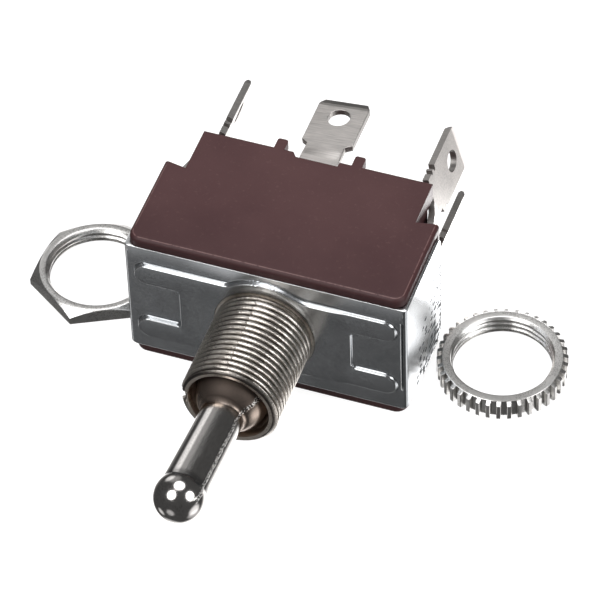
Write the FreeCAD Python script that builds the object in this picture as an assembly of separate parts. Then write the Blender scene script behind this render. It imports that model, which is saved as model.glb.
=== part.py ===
import FreeCAD, Part
import math
import os

# Panel toggle switch lying on its broad side, in millimetres.
# +Y runs from the panel seat to the terminals, +X along the throw, +Z out of the broad face.
# The origin is where the bushing axis meets the panel seat.
V = FreeCAD.Vector
X_AXIS = V(1, 0, 0)
Y_AXIS = V(0, 1, 0)
Z_AXIS = V(0, 0, 1)

# Named clearances
slip = 0.05
frame_play = 0.05
swing_gap = 0.3
cradle_gap = 0.35
neck_play = 0.15
hex_gap = 0.437
ring_gap = 0.48

# Driving sizes of the moulded case
case_half_length = 16.85
case_half_thick = 9.75
case_front = 0.65
case_rear = 19.45
shoulder_y = 13.10
shoulder_slope = 0.5
case_corner_radius = 1.5
case_edge_radius = 0.6
face_wall = 1.75
end_wall = 1.24
rear_wall = 3.95
cavity_corner_radius = 1.0
divider_half_thick = 0.5
post_half_width = 0.65
post_height = 1.62
post_x = 4.8
notch_half_width = 2.5
notch_depth = 0.68

# Driving sizes of the steel frame, which wraps the front and both ends of the case
sheet = 0.8
plate_front = 0.55
leg_proud = 0.35
case_rim = 1.33
leg_foot_gap = 0.15
bend_radius = 0.65
leg_corner_radius = 1.0
frame_half_length = case_half_length + leg_proud
frame_half_width = case_half_thick - case_rim
frame_leg_end = shoulder_y - leg_foot_gap

# Raised field of the frame: fingers, notches and the ring round the bushing
field_half_length = 10.5
finger_middle = 4.5
finger_half_width = 1.45
finger_margin = 1.05
finger_end = frame_half_length - finger_margin
bushing_ring_radius = 7.4
field_wall_slope = 0.35
field_growth = 0.12
pressed_wall = 0.75
crease_inset = 0.84
crease_width = 0.22

# Driving sizes of the bushing
thread_radius = 5.953
thread_depth = 0.49
thread_pitch = 0.794
turns_per_groove = 2
bushing_length = 12.3
mouth_chamfer = 0.5
bushing_bore_radius = 4.45
collar_step = 0.2
collar_radius = thread_radius + collar_step
flange_radius = collar_radius + 0.75
flange_thick = 0.8
keyway_width = 1.9
keyway_floor_radius = 5.0

# Driving sizes of the lever
pivot_depth = 2.9
pivot_y = pivot_depth - bushing_length
pivot_ball_radius = bushing_bore_radius - swing_gap
lever_reach = 17.43
knob_radius = 2.75
shaft_radius_root = 2.45
shaft_radius_end = 2.32
shaft_flare = 0.7
stub_radius = 1.6
rest_lean = -2.0
throw = 13.0
pin_radius = 0.6
pin_half_length = 4.75

# Strip metal of the terminals, and where its ends pass out of the case
strip = 0.8
tab_width = 6.35
tab_hole = 2.7
tab_tip_corner = 0.9
tab_bevel = 0.22
tab_bevel_length = 1.15
slot_wall = 0.6
shoulder_step = 1.16
end_neck_half_width = 1.85
centre_neck_half_width = 2.35
end_slot_x = frame_half_length - sheet - frame_play - slot_wall - slip - strip / 2
shoulder_half_length = end_slot_x - shoulder_step
cavity_half_length = shoulder_half_length - end_wall
cavity_half_thick = case_half_thick - face_wall
cavity_floor = case_rear - rear_wall

# Contacts and rockers
contact_radius = 1.5
contact_inset = 1.5
fixed_contact_height = 0.7
moving_contact_height = 0.6
contact_travel = 1.4
foot_depth = 1.5
rocker_half_width = 1.9
rocker_margin = 0.83
rocker_swing = 6.7
saddle_radius = 0.3
saddle_half_width = 1.7
groove_play = 0.08
contact_x = cavity_half_length - contact_radius - contact_inset
foot_y = shoulder_y - foot_depth
rocker_pivot_y = foot_y - fixed_contact_height - moving_contact_height - contact_travel
pole_z = cavity_half_thick - rocker_half_width - rocker_margin

# What the lever carries: a moulded bar with two sprung plungers
bar_thick = 3.2
bar_half_width = 2.6
bar_end_wall = 0.58
plunger_radius = 1.45
plunger_stand = 1.15
plunger_length = 2.75
plunger_nose = 0.7
spring_seat_depth = 0.5
plunger_crown = 0.85
spring_coil_radius = 0.66
spring_wire = 0.22
spring_turns = 3
spring_lengths_per_turn = 12
stub_inset = 0.6
divider_gap = 1.0
plunger_tip = rocker_pivot_y - strip - cradle_gap
plunger_back = plunger_tip - plunger_length
plunger_spring_floor = plunger_tip - plunger_crown
bar_rear = plunger_tip - plunger_stand
bar_front = bar_rear - bar_thick
bar_half_span = pole_z + plunger_radius + bar_end_wall
spring_seat = bar_front + spring_seat_depth
stub_end = bar_rear - stub_inset
divider_top = bar_rear + divider_gap

# Centre terminals
centre_tab_sink = 1.15
centre_tab_stand = 3.36
centre_tab_length = 7.15
centre_hole_inset = 2.93
centre_tab_roll = 6.0
centre_tab_z = case_half_thick - centre_tab_sink
centre_tab_shoulder = case_rear + centre_tab_stand
centre_tab_tip = centre_tab_shoulder + centre_tab_length
centre_tab_hole_y = centre_tab_tip - centre_hole_inset

# End terminals, whose necks lean in over the rear corners of the case
end_tab_inset = 0.78
end_tab_stand = 1.60
end_tab_shank = 2.67
end_tab_length = 7.08
end_hole_inset = 3.04
end_tab_twist = 15.5
lean_start = 1.85
lean_end = 0.15
lean_start_out = 0.46
lean_end_in = 0.19
stop_notch = 0.6
end_tab_x = shoulder_half_length - end_tab_inset
end_tab_body_end = case_rear + end_tab_stand
end_tab_shoulder = end_tab_body_end + end_tab_shank
end_tab_tip = end_tab_shoulder + end_tab_length
end_tab_hole_y = end_tab_tip - end_hole_inset

# Loose nuts, lying on the floor beside the case
hex_across_flats = 14.29
hex_thick = 1.9
hex_corner_height = 1.0
hex_y = 10.20
hex_turn = 86.2
hex_land = 1.15
hex_lead = 0.35
ring_outer_radius = 7.72
ring_root_radius = 7.12
ring_thick = 2.5
ring_teeth = 38
ring_y = 11.05
ring_lead = 0.4
tooth_half_width = 0.32
tooth_bevel = 0.4
nut_bore_radius = thread_radius - thread_depth + 0.1
hex_corner_radius = hex_across_flats / math.sqrt(3)
hex_half_span = hex_corner_radius * math.cos(math.radians(hex_turn - 60))
hex_centre = (-frame_half_length - hex_gap - hex_half_span, hex_y)
ring_centre = (frame_half_length + ring_gap + ring_outer_radius, ring_y)
floor_z = -case_half_thick


def box(x0, x1, y0, y1, z0, z1):
    return Part.makeBox(x1 - x0, y1 - y0, z1 - z0, V(x0, y0, z0))


def mirrored_box(x, y0, y1, z):
    return box(-x, x, y0, y1, -z, z)


def rod(radius, start, direction, length):
    return Part.makeCylinder(radius, length, start, direction)


def prism(points, z0, z1):
    """Outline in X and Y, given as plain pairs, raised from z0 to z1."""
    corners = [V(x, y, z0) for x, y in points]
    return Part.Face(Part.makePolygon(corners + corners[:1])).extrude(V(0, 0, z1 - z0))


def edges_where(shape, test):
    return [edge for edge in shape.Edges if test(edge)]


def along(edge, axis):
    ends = [vertex.Point for vertex in edge.Vertexes]
    if len(ends) != 2:
        return False
    return (ends[1] - ends[0]).cross(axis).Length < 1e-6


def middle(edge):
    return edge.valueAt(0.5 * (edge.FirstParameter + edge.LastParameter))


def turned(shape, centre, axis, angle):
    copy = shape.copy()
    copy.rotate(centre, axis, angle)
    return copy


def flipped(shape, normal):
    return shape.mirror(V(0, 0, 0), normal)


def one_solid(shape):
    return shape.removeSplitter()


# Case
def case_block():
    outline = [
        (-case_half_length, case_front),
        (case_half_length, case_front),
        (case_half_length, shoulder_y + shoulder_slope),
        (shoulder_half_length, shoulder_y),
        (shoulder_half_length, case_rear),
        (-shoulder_half_length, case_rear),
        (-shoulder_half_length, shoulder_y),
        (-case_half_length, shoulder_y + shoulder_slope),
    ]
    block = prism(outline, -case_half_thick, case_half_thick)
    corners = edges_where(block, lambda e: along(e, Z_AXIS) and middle(e).y < case_front + 0.1)
    block = block.makeFillet(case_corner_radius, corners)

    def front_or_end_rim(edge):
        point = middle(edge)
        on_face = abs(abs(point.z) - case_half_thick) < 1e-6
        at_front = point.y < case_front + case_corner_radius
        at_end = abs(abs(point.x) - case_half_length) < 1e-6
        return on_face and (at_front or at_end)

    return block.makeFillet(case_edge_radius, edges_where(block, front_or_end_rim))


def frame_channel():
    floor_y = plate_front + sheet + frame_play
    floor_x = frame_half_length - sheet - frame_play
    reach = case_half_length + 1
    half = frame_half_width + 0.08
    leg_end = frame_leg_end + frame_play
    outline = [
        (-reach, -1),
        (reach, -1),
        (reach, leg_end),
        (floor_x, leg_end),
        (floor_x, floor_y + 0.4),
        (floor_x - 0.4, floor_y),
        (0.4 - floor_x, floor_y),
        (-floor_x, floor_y + 0.4),
        (-floor_x, leg_end),
        (-reach, leg_end),
    ]
    return prism(outline, -half, half)


def neck_lean(share):
    """Middle of an end terminal's neck at a share of the way along its lean."""
    start_x = shoulder_half_length + lean_start_out
    end_x = shoulder_half_length - lean_end_in
    start_y = case_rear - lean_start
    end_y = case_rear + lean_end
    return (start_x + share * (end_x - start_x), start_y + share * (end_y - start_y))


def case_cavity():
    front = plate_front + sheet - 0.5
    hollow = mirrored_box(cavity_half_length, front, cavity_floor, cavity_half_thick)
    corners = edges_where(hollow, lambda e: along(e, Y_AXIS))
    hollow = hollow.makeFillet(cavity_corner_radius, corners)
    divider = mirrored_box(cavity_half_length + 1, divider_top, cavity_floor + 1, divider_half_thick)
    return hollow.cut(divider)


def terminal_slots():
    """Pockets that the terminals stand in, for one face, and their mirror images."""
    play = slip
    neck = box(
        end_slot_x - strip / 2 - play, end_slot_x + strip / 2 + play,
        foot_y - play, shoulder_y + shoulder_slope + 1,
        pole_z - end_neck_half_width - play, pole_z + end_neck_half_width + play,
    )
    foot = box(
        cavity_half_length - 0.5, end_slot_x + strip / 2 + play,
        foot_y - play, foot_y + strip + play,
        pole_z - end_neck_half_width - play, pole_z + end_neck_half_width + play,
    )
    lean = prism(
        [(x - strip / 2 - neck_play, y) for x, y in (neck_lean(-0.2), neck_lean(1.2))]
        + [(shoulder_half_length + 1, y) for x, y in (neck_lean(1.2), neck_lean(-0.2))],
        pole_z + shank_edges()[0], pole_z + end_neck_half_width + neck_play,
    )
    end_pocket = neck.fuse(foot).fuse(lean)
    half = centre_neck_half_width + play
    centre_pocket = box(
        -half, half,
        cavity_floor - strip - play, case_rear + 1,
        centre_tab_z - strip / 2 - play, centre_tab_z + strip / 2 + play,
    )
    foot_pocket = box(
        -half, half,
        cavity_floor - strip - play, cavity_floor,
        cavity_half_thick - strip, centre_tab_z,
    )
    floor = case_rear - notch_depth
    notch = prism(
        [(-notch_half_width, floor), (notch_half_width + 0.15, floor), (notch_half_width + 0.15, case_rear + 1),
         (-notch_half_width - 1.1, case_rear + 1), (-notch_half_width - 0.4, case_rear - 0.15)],
        cavity_half_thick - 0.6, case_half_thick + 1,
    )
    shapes = [end_pocket, flipped(end_pocket, X_AXIS), centre_pocket, foot_pocket, notch]
    return shapes + [flipped(shape, Z_AXIS) for shape in shapes]


def rear_posts():
    posts = []
    for side in (-1, 1):
        for face in (-1, 1):
            half = post_half_width
            post = box(-half, half, case_rear - 0.5, case_rear + post_height, -half, half)
            tips = edges_where(post, lambda e: along(e, Z_AXIS) and middle(e).y > case_rear)
            post = post.makeFillet(0.3, tips)
            post.translate(V(side * post_x, 0, face * (case_half_thick - half)))
            posts.append(post)
    return posts


def make_case():
    case = case_block().cut(frame_channel()).cut(case_cavity())
    for pocket in terminal_slots():
        case = case.cut(pocket)
    for post in rear_posts():
        case = case.fuse(post)
    return one_solid(case)


# Frame
def field_outline(grow, y0, y1):
    """Raised field of the plate, its outline moved out by grow."""
    half_band = finger_middle + finger_half_width + grow
    pieces = [mirrored_box(field_half_length + grow, y0, y1, half_band)]
    radius = finger_half_width + grow
    for side in (-1, 1):
        for level in (-finger_middle, finger_middle):
            tip = side * (finger_end - finger_half_width)
            low, high = sorted((side * (field_half_length - 1), tip))
            pieces.append(box(low, high, y0, y1, level - radius, level + radius))
            pieces.append(rod(radius, V(tip, y0, level), Y_AXIS, y1 - y0))
    pieces.append(rod(bushing_ring_radius + grow, V(0, y0, 0), Y_AXIS, y1 - y0))
    field = pieces[0]
    for piece in pieces[1:]:
        field = field.fuse(piece)
    return field.removeSplitter()


def make_frame():
    back = plate_front + sheet
    shell = mirrored_box(frame_half_length, plate_front, frame_leg_end, frame_half_width)
    bends = edges_where(shell, lambda e: along(e, Z_AXIS) and middle(e).y < plate_front + 0.1)
    shell = shell.makeFillet(bend_radius, bends)
    feet = edges_where(shell, lambda e: along(e, X_AXIS) and middle(e).y > frame_leg_end - 0.1)
    shell = shell.makeFillet(leg_corner_radius, feet)
    inside = mirrored_box(frame_half_length - sheet, back, frame_leg_end + 1, frame_half_width + 1)
    shell = shell.cut(inside)
    raised = field_outline(field_growth, 0.0, plate_front + 0.1)
    crown = edges_where(raised, lambda e: abs(middle(e).y) < 1e-6)
    raised = raised.makeChamfer(field_wall_slope, crown)
    hollow = field_outline(-pressed_wall, plate_front + 0.2, back + 0.1)
    seat = rod(flange_radius, V(0, plate_front, 0), Y_AXIS, back - plate_front)
    shell = shell.fuse(raised).cut(hollow.cut(seat))
    shell = shell.cut(rod(collar_radius + slip, V(0, -1, 0), Y_AXIS, back + 2))
    crease_x = frame_half_length - crease_inset
    crease = box(crease_x, crease_x + crease_width, plate_front - 1, plate_front + crease_width, -5.1, 6.2)
    return one_solid(shell.cut(crease))


# Bushing
def threaded_barrel(length):
    """Turned barrel whose plain grooves stand for every second turn of the fine thread."""
    spacing = turns_per_groove * thread_pitch
    half_mouth = thread_depth * math.tan(math.radians(30))
    outline = [V(0, -length, 0), V(thread_radius - mouth_chamfer, -length, 0)]
    outline.append(V(thread_radius, mouth_chamfer - length, 0))
    for i in range(int((length - mouth_chamfer) / spacing)):
        y = mouth_chamfer - length + (i + 0.75) * spacing
        outline += [
            V(thread_radius, y - half_mouth, 0),
            V(thread_radius - thread_depth, y, 0),
            V(thread_radius, y + half_mouth, 0),
        ]
    outline += [V(thread_radius, 0, 0), V(0, 0, 0)]
    section = Part.Face(Part.makePolygon(outline + outline[:1]))
    return section.revolve(V(0, 0, 0), Y_AXIS, 360)


def make_bushing():
    flange_front = plate_front + sheet
    length = bushing_length
    barrel = threaded_barrel(length)
    collar = rod(collar_radius, V(0, 0, 0), Y_AXIS, flange_front)
    flange = rod(flange_radius, V(0, flange_front, 0), Y_AXIS, flange_thick)
    body = barrel.fuse(collar).fuse(flange)
    bore = rod(bushing_bore_radius, V(0, -length - 1, 0), Y_AXIS, length + flange_front + 3)
    body = body.cut(bore)
    half_slot = pin_radius + slip
    pin_slots = mirrored_box(half_slot, pivot_y, flange_front + 3, pin_half_length + slip)
    pin_seat = rod(half_slot, V(0, pivot_y, -pin_half_length - slip), Z_AXIS, 2 * (pin_half_length + slip))
    body = body.cut(pin_slots).cut(pin_seat)
    keyway = box(
        -thread_radius - 1, -keyway_floor_radius,
        -length - 1, 0.0,
        -keyway_width / 2, keyway_width / 2,
    )
    return one_solid(body.cut(keyway))


# Lever, drawn upright and then leaned to the angle it rests at
def leaned(shape):
    return turned(shape, V(0, pivot_y, 0), Z_AXIS, rest_lean)


def lever_profile():
    """Half section of the lever: distance out of the axis against distance from the pivot."""
    ball = pivot_ball_radius
    root = shaft_radius_root
    end = shaft_radius_end
    knob = knob_radius
    flare = shaft_flare
    ball_height = math.sqrt((ball + flare) ** 2 - (root + flare) ** 2)
    touch = ball / (ball + flare)
    on_ball = (touch * (root + flare), touch * ball_height)
    on_shaft = (root, ball_height)
    turn = math.atan2(on_ball[1] - ball_height, on_ball[0] - root - flare)
    halfway = (turn - math.pi) / 2 if turn > 0 else (turn + 2 * math.pi + math.pi) / 2
    on_flare = (root + flare + flare * math.cos(halfway), ball_height + flare * math.sin(halfway))
    knob_join = lever_reach - math.sqrt(knob ** 2 - end ** 2)

    def at(pair):
        return V(pair[0], pivot_y - pair[1], 0)

    def arc(first, second, third):
        return Part.Arc(at(first), at(second), at(third)).toShape()

    def line(first, second):
        return Part.makeLine(at(first), at(second))

    ball_side = (ball * math.cos(0.4), ball * math.sin(0.4))
    waist = (ball, 0)
    knob_side = (knob, lever_reach)
    pole = (0, lever_reach + knob)
    stub_root = (stub_radius, stub_radius - ball)
    stub_tip = (stub_radius, pivot_y - stub_end)
    stub_middle = (0, pivot_y - stub_end)
    edges = [
        line(stub_middle, stub_tip),
        line(stub_tip, stub_root),
        line(stub_root, waist),
        arc(waist, ball_side, on_ball),
        arc(on_ball, on_flare, on_shaft),
        line(on_shaft, (end, knob_join)),
        arc((end, knob_join), knob_side, pole),
        line(pole, stub_middle),
    ]
    return Part.Face(Part.Wire(edges))


def make_lever():
    lever = lever_profile().revolve(V(0, 0, 0), Y_AXIS, 360)
    hole = rod(pin_radius + slip, V(0, pivot_y, -pivot_ball_radius - 1), Z_AXIS, 2 * pivot_ball_radius + 2)
    return leaned(one_solid(lever.cut(hole)))


def make_pivot_pin():
    return rod(pin_radius, V(0, pivot_y, -pin_half_length), Z_AXIS, 2 * pin_half_length)


def make_actuator_bar():
    bar = mirrored_box(bar_half_width, bar_front, bar_rear, bar_half_span)
    bar = bar.makeChamfer(0.5, edges_where(bar, lambda e: along(e, Y_AXIS)))
    bar = bar.cut(rod(stub_radius + slip, V(0, bar_front - 1, 0), Y_AXIS, stub_end - bar_front + 1 + slip))
    for side in (-1, 1):
        bore_start = V(0, spring_seat, side * pole_z)
        bar = bar.cut(rod(plunger_radius + slip, bore_start, Y_AXIS, bar_rear))
    return leaned(one_solid(bar))


def make_plunger(side):
    body = rod(plunger_radius, V(0, plunger_back, side * pole_z), Y_AXIS, plunger_tip - plunger_back)
    nose = edges_where(body, lambda e: middle(e).y > plunger_tip - 0.1 and not along(e, Y_AXIS))
    body = body.makeChamfer(plunger_nose, nose)
    socket = rod(spring_coil_radius + spring_wire + swing_gap / 3,
                 V(0, plunger_back - 1, side * pole_z), Y_AXIS, plunger_spring_floor - plunger_back + 1)
    return leaned(one_solid(body.cut(socket)))


def make_spring(side):
    """Square wire wound in short straight lengths, which keeps the coil light."""
    reach = plunger_spring_floor - spring_seat - 2 * spring_wire - 0.1
    lengths = spring_turns * spring_lengths_per_turn
    path = []
    for i in range(lengths + 1):
        angle = 2 * math.pi * i / spring_lengths_per_turn
        across = V(math.cos(angle), math.sin(angle), 0) * spring_coil_radius
        path.append(across + Z_AXIS * (reach * i / lengths))
    corners = [
        V(spring_coil_radius + side_x * spring_wire, 0, side_y * spring_wire)
        for side_x, side_y in ((1, 0), (0, 1), (-1, 0), (0, -1))
    ]
    mitred = 1
    coil = Part.makePolygon(path).makePipeShell([Part.makePolygon(corners + corners[:1])], True, True, mitred)
    coil.rotate(V(0, 0, 0), X_AXIS, -90)
    coil.translate(V(0, spring_seat + spring_wire + 0.05, side * pole_z))
    return leaned(coil)


# Rocking contact arms
def rocker_turn(lever_angle):
    """Rocker angle that goes with a lever angle measured from upright."""
    return lever_angle * rocker_swing / throw


def cradle_point(lever_angle):
    """Where the plunger tip stands, seen from a rocker that has turned with it."""
    reach = plunger_tip - pivot_y
    angle = math.radians(lever_angle)
    x = reach * math.sin(angle)
    y = pivot_y + reach * math.cos(angle) - rocker_pivot_y
    turn = math.radians(rocker_turn(lever_angle))
    return (x * math.cos(turn) + y * math.sin(turn), y * math.cos(turn) - x * math.sin(turn))


def rocker_outline():
    steps = 6
    ramp = [cradle_point(throw * i / steps) for i in range(steps + 1)]
    front = [(x, rocker_pivot_y + y + cradle_gap) for x, y in ramp]
    crest_x, crest_y = front[-1]
    arm_front = rocker_pivot_y - strip
    arm_end = contact_x + contact_radius - 0.2
    front += [(crest_x + 0.8, crest_y + 0.1), (crest_x + 1.9, arm_front), (arm_end, arm_front)]
    back = [(x, max(y + strip, arm_front)) for x, y in front[:-3]]
    back += [(crest_x + 0.6, crest_y + strip + 0.15), (crest_x + 1.7, rocker_pivot_y), (arm_end, rocker_pivot_y)]
    right_front = front
    left_front = [(-x, y) for x, y in reversed(front[1:])]
    right_back = list(reversed(back))
    left_back = [(-x, y) for x, y in back[1:]]
    return left_front + right_front + right_back + left_back


def rocker_rest(shape, side):
    return turned(shape, V(0, rocker_pivot_y, side * pole_z), Z_AXIS, -rocker_turn(rest_lean))


def make_rocker(side):
    """Sprung arm with the groove in its back that rocks on the saddle's rounded ridge."""
    low = side * pole_z - rocker_half_width
    arm = prism(rocker_outline(), low, low + 2 * rocker_half_width)
    groove = rod(saddle_radius + groove_play, V(0, rocker_pivot_y, low - 1), Z_AXIS, 2 * rocker_half_width + 2)
    return rocker_rest(arm.cut(groove), side)


def make_moving_contact(side, end):
    button = rod(contact_radius, V(end * contact_x, rocker_pivot_y, side * pole_z), Y_AXIS, moving_contact_height)
    return rocker_rest(button, side)


def make_fixed_contact(side, end):
    start = V(end * contact_x, foot_y - fixed_contact_height, side * pole_z)
    return rod(contact_radius, start, Y_AXIS, fixed_contact_height)


# Terminals
def blade(outline, hole_y, tip_y):
    """Flat tab in the plane of Y and Z, one strip thick about X, with a bevelled tip."""
    corners = [V(-strip / 2, y, s) for s, y in outline]
    body = Part.Face(Part.makePolygon(corners + corners[:1])).extrude(V(strip, 0, 0))
    body = body.cut(rod(tab_hole / 2, V(-strip, hole_y, 0), X_AXIS, 2 * strip))
    for face in (-1, 1):
        wedge = [
            V(face * (strip / 2 - tab_bevel), tip_y, -tab_width),
            V(face * (strip / 2 + 0.1), tip_y + 0.1, -tab_width),
            V(face * (strip / 2 + 0.1), tip_y - tab_bevel_length, -tab_width),
        ]
        body = body.cut(Part.Face(Part.makePolygon(wedge + wedge[:1])).extrude(V(0, 0, 2 * tab_width)))
    return body


def strip_section(y, x, z, half_width, angle):
    """Cross section of a strip standing on its edge, turned about Y by angle."""
    turn = math.radians(angle)
    wide = V(-math.sin(turn), 0, math.cos(turn)) * half_width
    thick = V(math.cos(turn), 0, math.sin(turn)) * (strip / 2)
    centre = V(x, y, z)
    corners = [centre - wide - thick, centre + wide - thick, centre + wide + thick, centre - wide + thick]
    return Part.makePolygon(corners + corners[:1])


def shank_edges():
    """Lower and upper edge of the shank that joins an end tab's blade to its neck."""
    low = 1.25 * stop_notch - tab_width / 2
    return (low, low + 2 * end_neck_half_width - 0.425)


def end_tab_blade():
    half = tab_width / 2
    tip = end_tab_tip
    corner = tab_tip_corner
    stop = end_tab_shoulder
    step = stop_notch / 4
    low, high = shank_edges()
    outline = [
        (half, stop), (half, tip - corner), (half - 0.55 * corner, tip),
        (0.55 * corner - half, tip), (-half, tip - corner), (-half, stop),
        (2 * step - half, stop - step), (2 * step - half, stop - 3 * step),
        (-half, stop - 4 * step), (-half, stop - 9 * step),
        (low, stop - 10 * step), (low, end_tab_body_end),
        (high, end_tab_body_end), (half - 2 * step, end_tab_body_end + 2 * step),
        (half - 2 * step, stop - 9 * step), (half - 4 * step, stop - 8 * step),
        (half - 4 * step, stop - 7 * step), (half - step, stop - 6 * step),
        (half - step, stop - 4 * step), (half - 4 * step, stop - 3 * step), (half - 4 * step, stop - step),
    ]
    tab = blade(outline, end_tab_hole_y, tip)
    tab.rotate(V(0, 0, 0), Y_AXIS, -end_tab_twist)
    tab.translate(V(end_tab_x, 0, pole_z))
    return tab


def end_terminal_upper_right():
    turn = math.radians(end_tab_twist)
    low, high = shank_edges()
    mid = (low + high) / 2
    half = (high - low) / 2
    start_x, start_y = neck_lean(0)
    end_x, end_y = neck_lean(1)
    rise = start_y - shoulder_y
    full = end_neck_half_width
    sections = [
        strip_section(end_tab_body_end + 0.02, end_tab_x - mid * math.sin(turn),
                      pole_z + mid * math.cos(turn), half, end_tab_twist),
        strip_section(end_y, end_x, pole_z + mid / 2, full - 0.1, 3.0),
        strip_section(start_y, start_x, pole_z + mid / 5, full - 0.05, 0.0),
        strip_section(shoulder_y + 0.55 * rise, start_x + 0.7 * (end_slot_x - start_x), pole_z, full, 0.0),
        strip_section(shoulder_y + 0.25 * rise, end_slot_x, pole_z, full, 0.0),
        strip_section(foot_y + strip / 2, end_slot_x, pole_z, full, 0.0),
    ]
    neck = Part.makeLoft(sections, True, True)
    low = pole_z - end_neck_half_width
    high = pole_z + end_neck_half_width
    foot = box(contact_x - contact_radius, end_slot_x + strip / 2, foot_y, foot_y + strip, low, high)
    return one_solid(end_tab_blade().fuse(neck).fuse(foot))


def make_end_terminal(side, end):
    terminal = end_terminal_upper_right()
    if end < 0:
        terminal = flipped(terminal, X_AXIS)
    if side < 0:
        terminal = flipped(terminal, Z_AXIS)
    return terminal


def make_centre_terminal(side):
    half = tab_width / 2
    neck = centre_neck_half_width
    tip = centre_tab_tip
    corner = tab_tip_corner
    stop = centre_tab_shoulder
    outline = [
        (half, stop), (half, tip - corner), (half - 0.55 * corner, tip),
        (0.55 * corner - half, tip), (-half, tip - corner), (-half, stop),
        (-neck, stop - 0.5), (-neck, stop - 1.0), (neck, stop - 1.0), (neck, stop - 0.5),
    ]
    tab = blade(outline, centre_tab_hole_y, tip)
    tab.rotate(V(0, 0, 0), Y_AXIS, 90 - centre_tab_roll)
    tab.translate(V(0, 0, centre_tab_z))
    twist = Part.makeLoft([
        strip_section(stop - 0.98, 0, centre_tab_z, neck, 90 + centre_tab_roll),
        strip_section(case_rear + 0.75, 0, centre_tab_z, neck, 90.0),
        strip_section(cavity_floor, 0, centre_tab_z, neck, 90.0),
    ], True, True)
    low = pole_z - saddle_half_width
    high = pole_z + saddle_half_width
    foot = box(-neck, neck, cavity_floor - strip, cavity_floor, low, centre_tab_z + strip / 2)
    edge = saddle_radius
    right = [(edge, rocker_pivot_y), (edge, rocker_pivot_y + edge), (edge + 1, rocker_pivot_y + edge + 0.9)]
    left = [(-x, y) for x, y in reversed(right)]
    post = prism([(-neck, cavity_floor - strip)] + left + right + [(neck, cavity_floor - strip)], low, high)
    ridge = rod(saddle_radius, V(0, rocker_pivot_y, low), Z_AXIS, high - low)
    saddle = post.fuse(ridge)
    terminal = one_solid(tab.fuse(twist).fuse(foot).fuse(saddle))
    if side < 0:
        terminal = flipped(terminal, Z_AXIS)
    return terminal


# Loose nuts
def nut_bore(centre, thick, lead):
    start = V(centre[0], centre[1], floor_z - 0.5)
    hole = rod(nut_bore_radius, start, Z_AXIS, thick + 1)
    wide = nut_bore_radius + lead + 0.1
    top = Part.makeCone(nut_bore_radius, wide, lead + 0.1, V(centre[0], centre[1], floor_z + thick - lead), Z_AXIS)
    return hole.fuse(top)


def make_hex_nut():
    circle = hex_corner_radius
    corners = []
    for i in range(6):
        angle = math.radians(hex_turn + 60 * i)
        corners.append((hex_centre[0] + circle * math.cos(angle), hex_centre[1] + circle * math.sin(angle)))
    block = prism(corners, floor_z, floor_z + hex_thick)
    ring_radius = nut_bore_radius + hex_land
    drop = hex_thick - hex_corner_height
    wide = ring_radius + (circle - ring_radius) * (hex_thick / drop)
    base = V(hex_centre[0], hex_centre[1], floor_z)
    cone = Part.makeCone(wide, ring_radius, hex_thick, base, Z_AXIS)
    return one_solid(block.common(cone).cut(nut_bore(hex_centre, hex_thick, hex_lead)))


def make_ring_nut():
    base = V(ring_centre[0], ring_centre[1], floor_z)
    ring = rod(ring_root_radius, base, Z_AXIS, ring_thick)
    teeth = []
    for i in range(ring_teeth):
        root = ring_root_radius - tooth_bevel
        top = ring_thick - 0.1
        section = [
            V(root, -tooth_half_width, 0), V(ring_outer_radius, -tooth_half_width, 0),
            V(ring_outer_radius, -tooth_half_width, top - tooth_bevel),
            V(root + 0.3, -tooth_half_width, top), V(root, -tooth_half_width, top),
        ]
        tooth = Part.Face(Part.makePolygon(section + section[:1])).extrude(V(0, 2 * tooth_half_width, 0))
        tooth.rotate(V(0, 0, 0), Z_AXIS, 360.0 * i / ring_teeth)
        tooth.translate(base)
        teeth.append(tooth)
    return one_solid(ring.fuse(teeth).cut(nut_bore(ring_centre, ring_thick, ring_lead)))


def build_all():
    nodes = {
        "case": make_case(),
        "mounting_frame": make_frame(),
        "threaded_bushing": make_bushing(),
        "toggle_lever": make_lever(),
        "pivot_pin": make_pivot_pin(),
        "actuator_bar": make_actuator_bar(),
        "hex_nut": make_hex_nut(),
        "ring_nut": make_ring_nut(),
    }
    for side, row in ((1, "upper"), (-1, "lower")):
        nodes["plunger_" + row] = make_plunger(side)
        nodes["spring_" + row] = make_spring(side)
        nodes["rocker_" + row] = make_rocker(side)
        nodes["terminal_centre_" + row] = make_centre_terminal(side)
        for end, place in ((-1, "left"), (1, "right")):
            name = place + "_" + row
            nodes["terminal_" + name] = make_end_terminal(side, end)
            nodes["fixed_contact_" + name] = make_fixed_contact(side, end)
            nodes["moving_contact_" + name] = make_moving_contact(side, end)
    return nodes


os.makedirs("parts", exist_ok=True)
for node, shape in build_all().items():
    shape.exportStep("parts/" + node + ".step")
    print(node, "solids", len(shape.Solids), "valid", shape.isValid(), "volume", round(shape.Volume, 2))
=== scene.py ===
import bmesh
import bpy
import math
import numpy as np
from mathutils import Matrix, Vector


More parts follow.
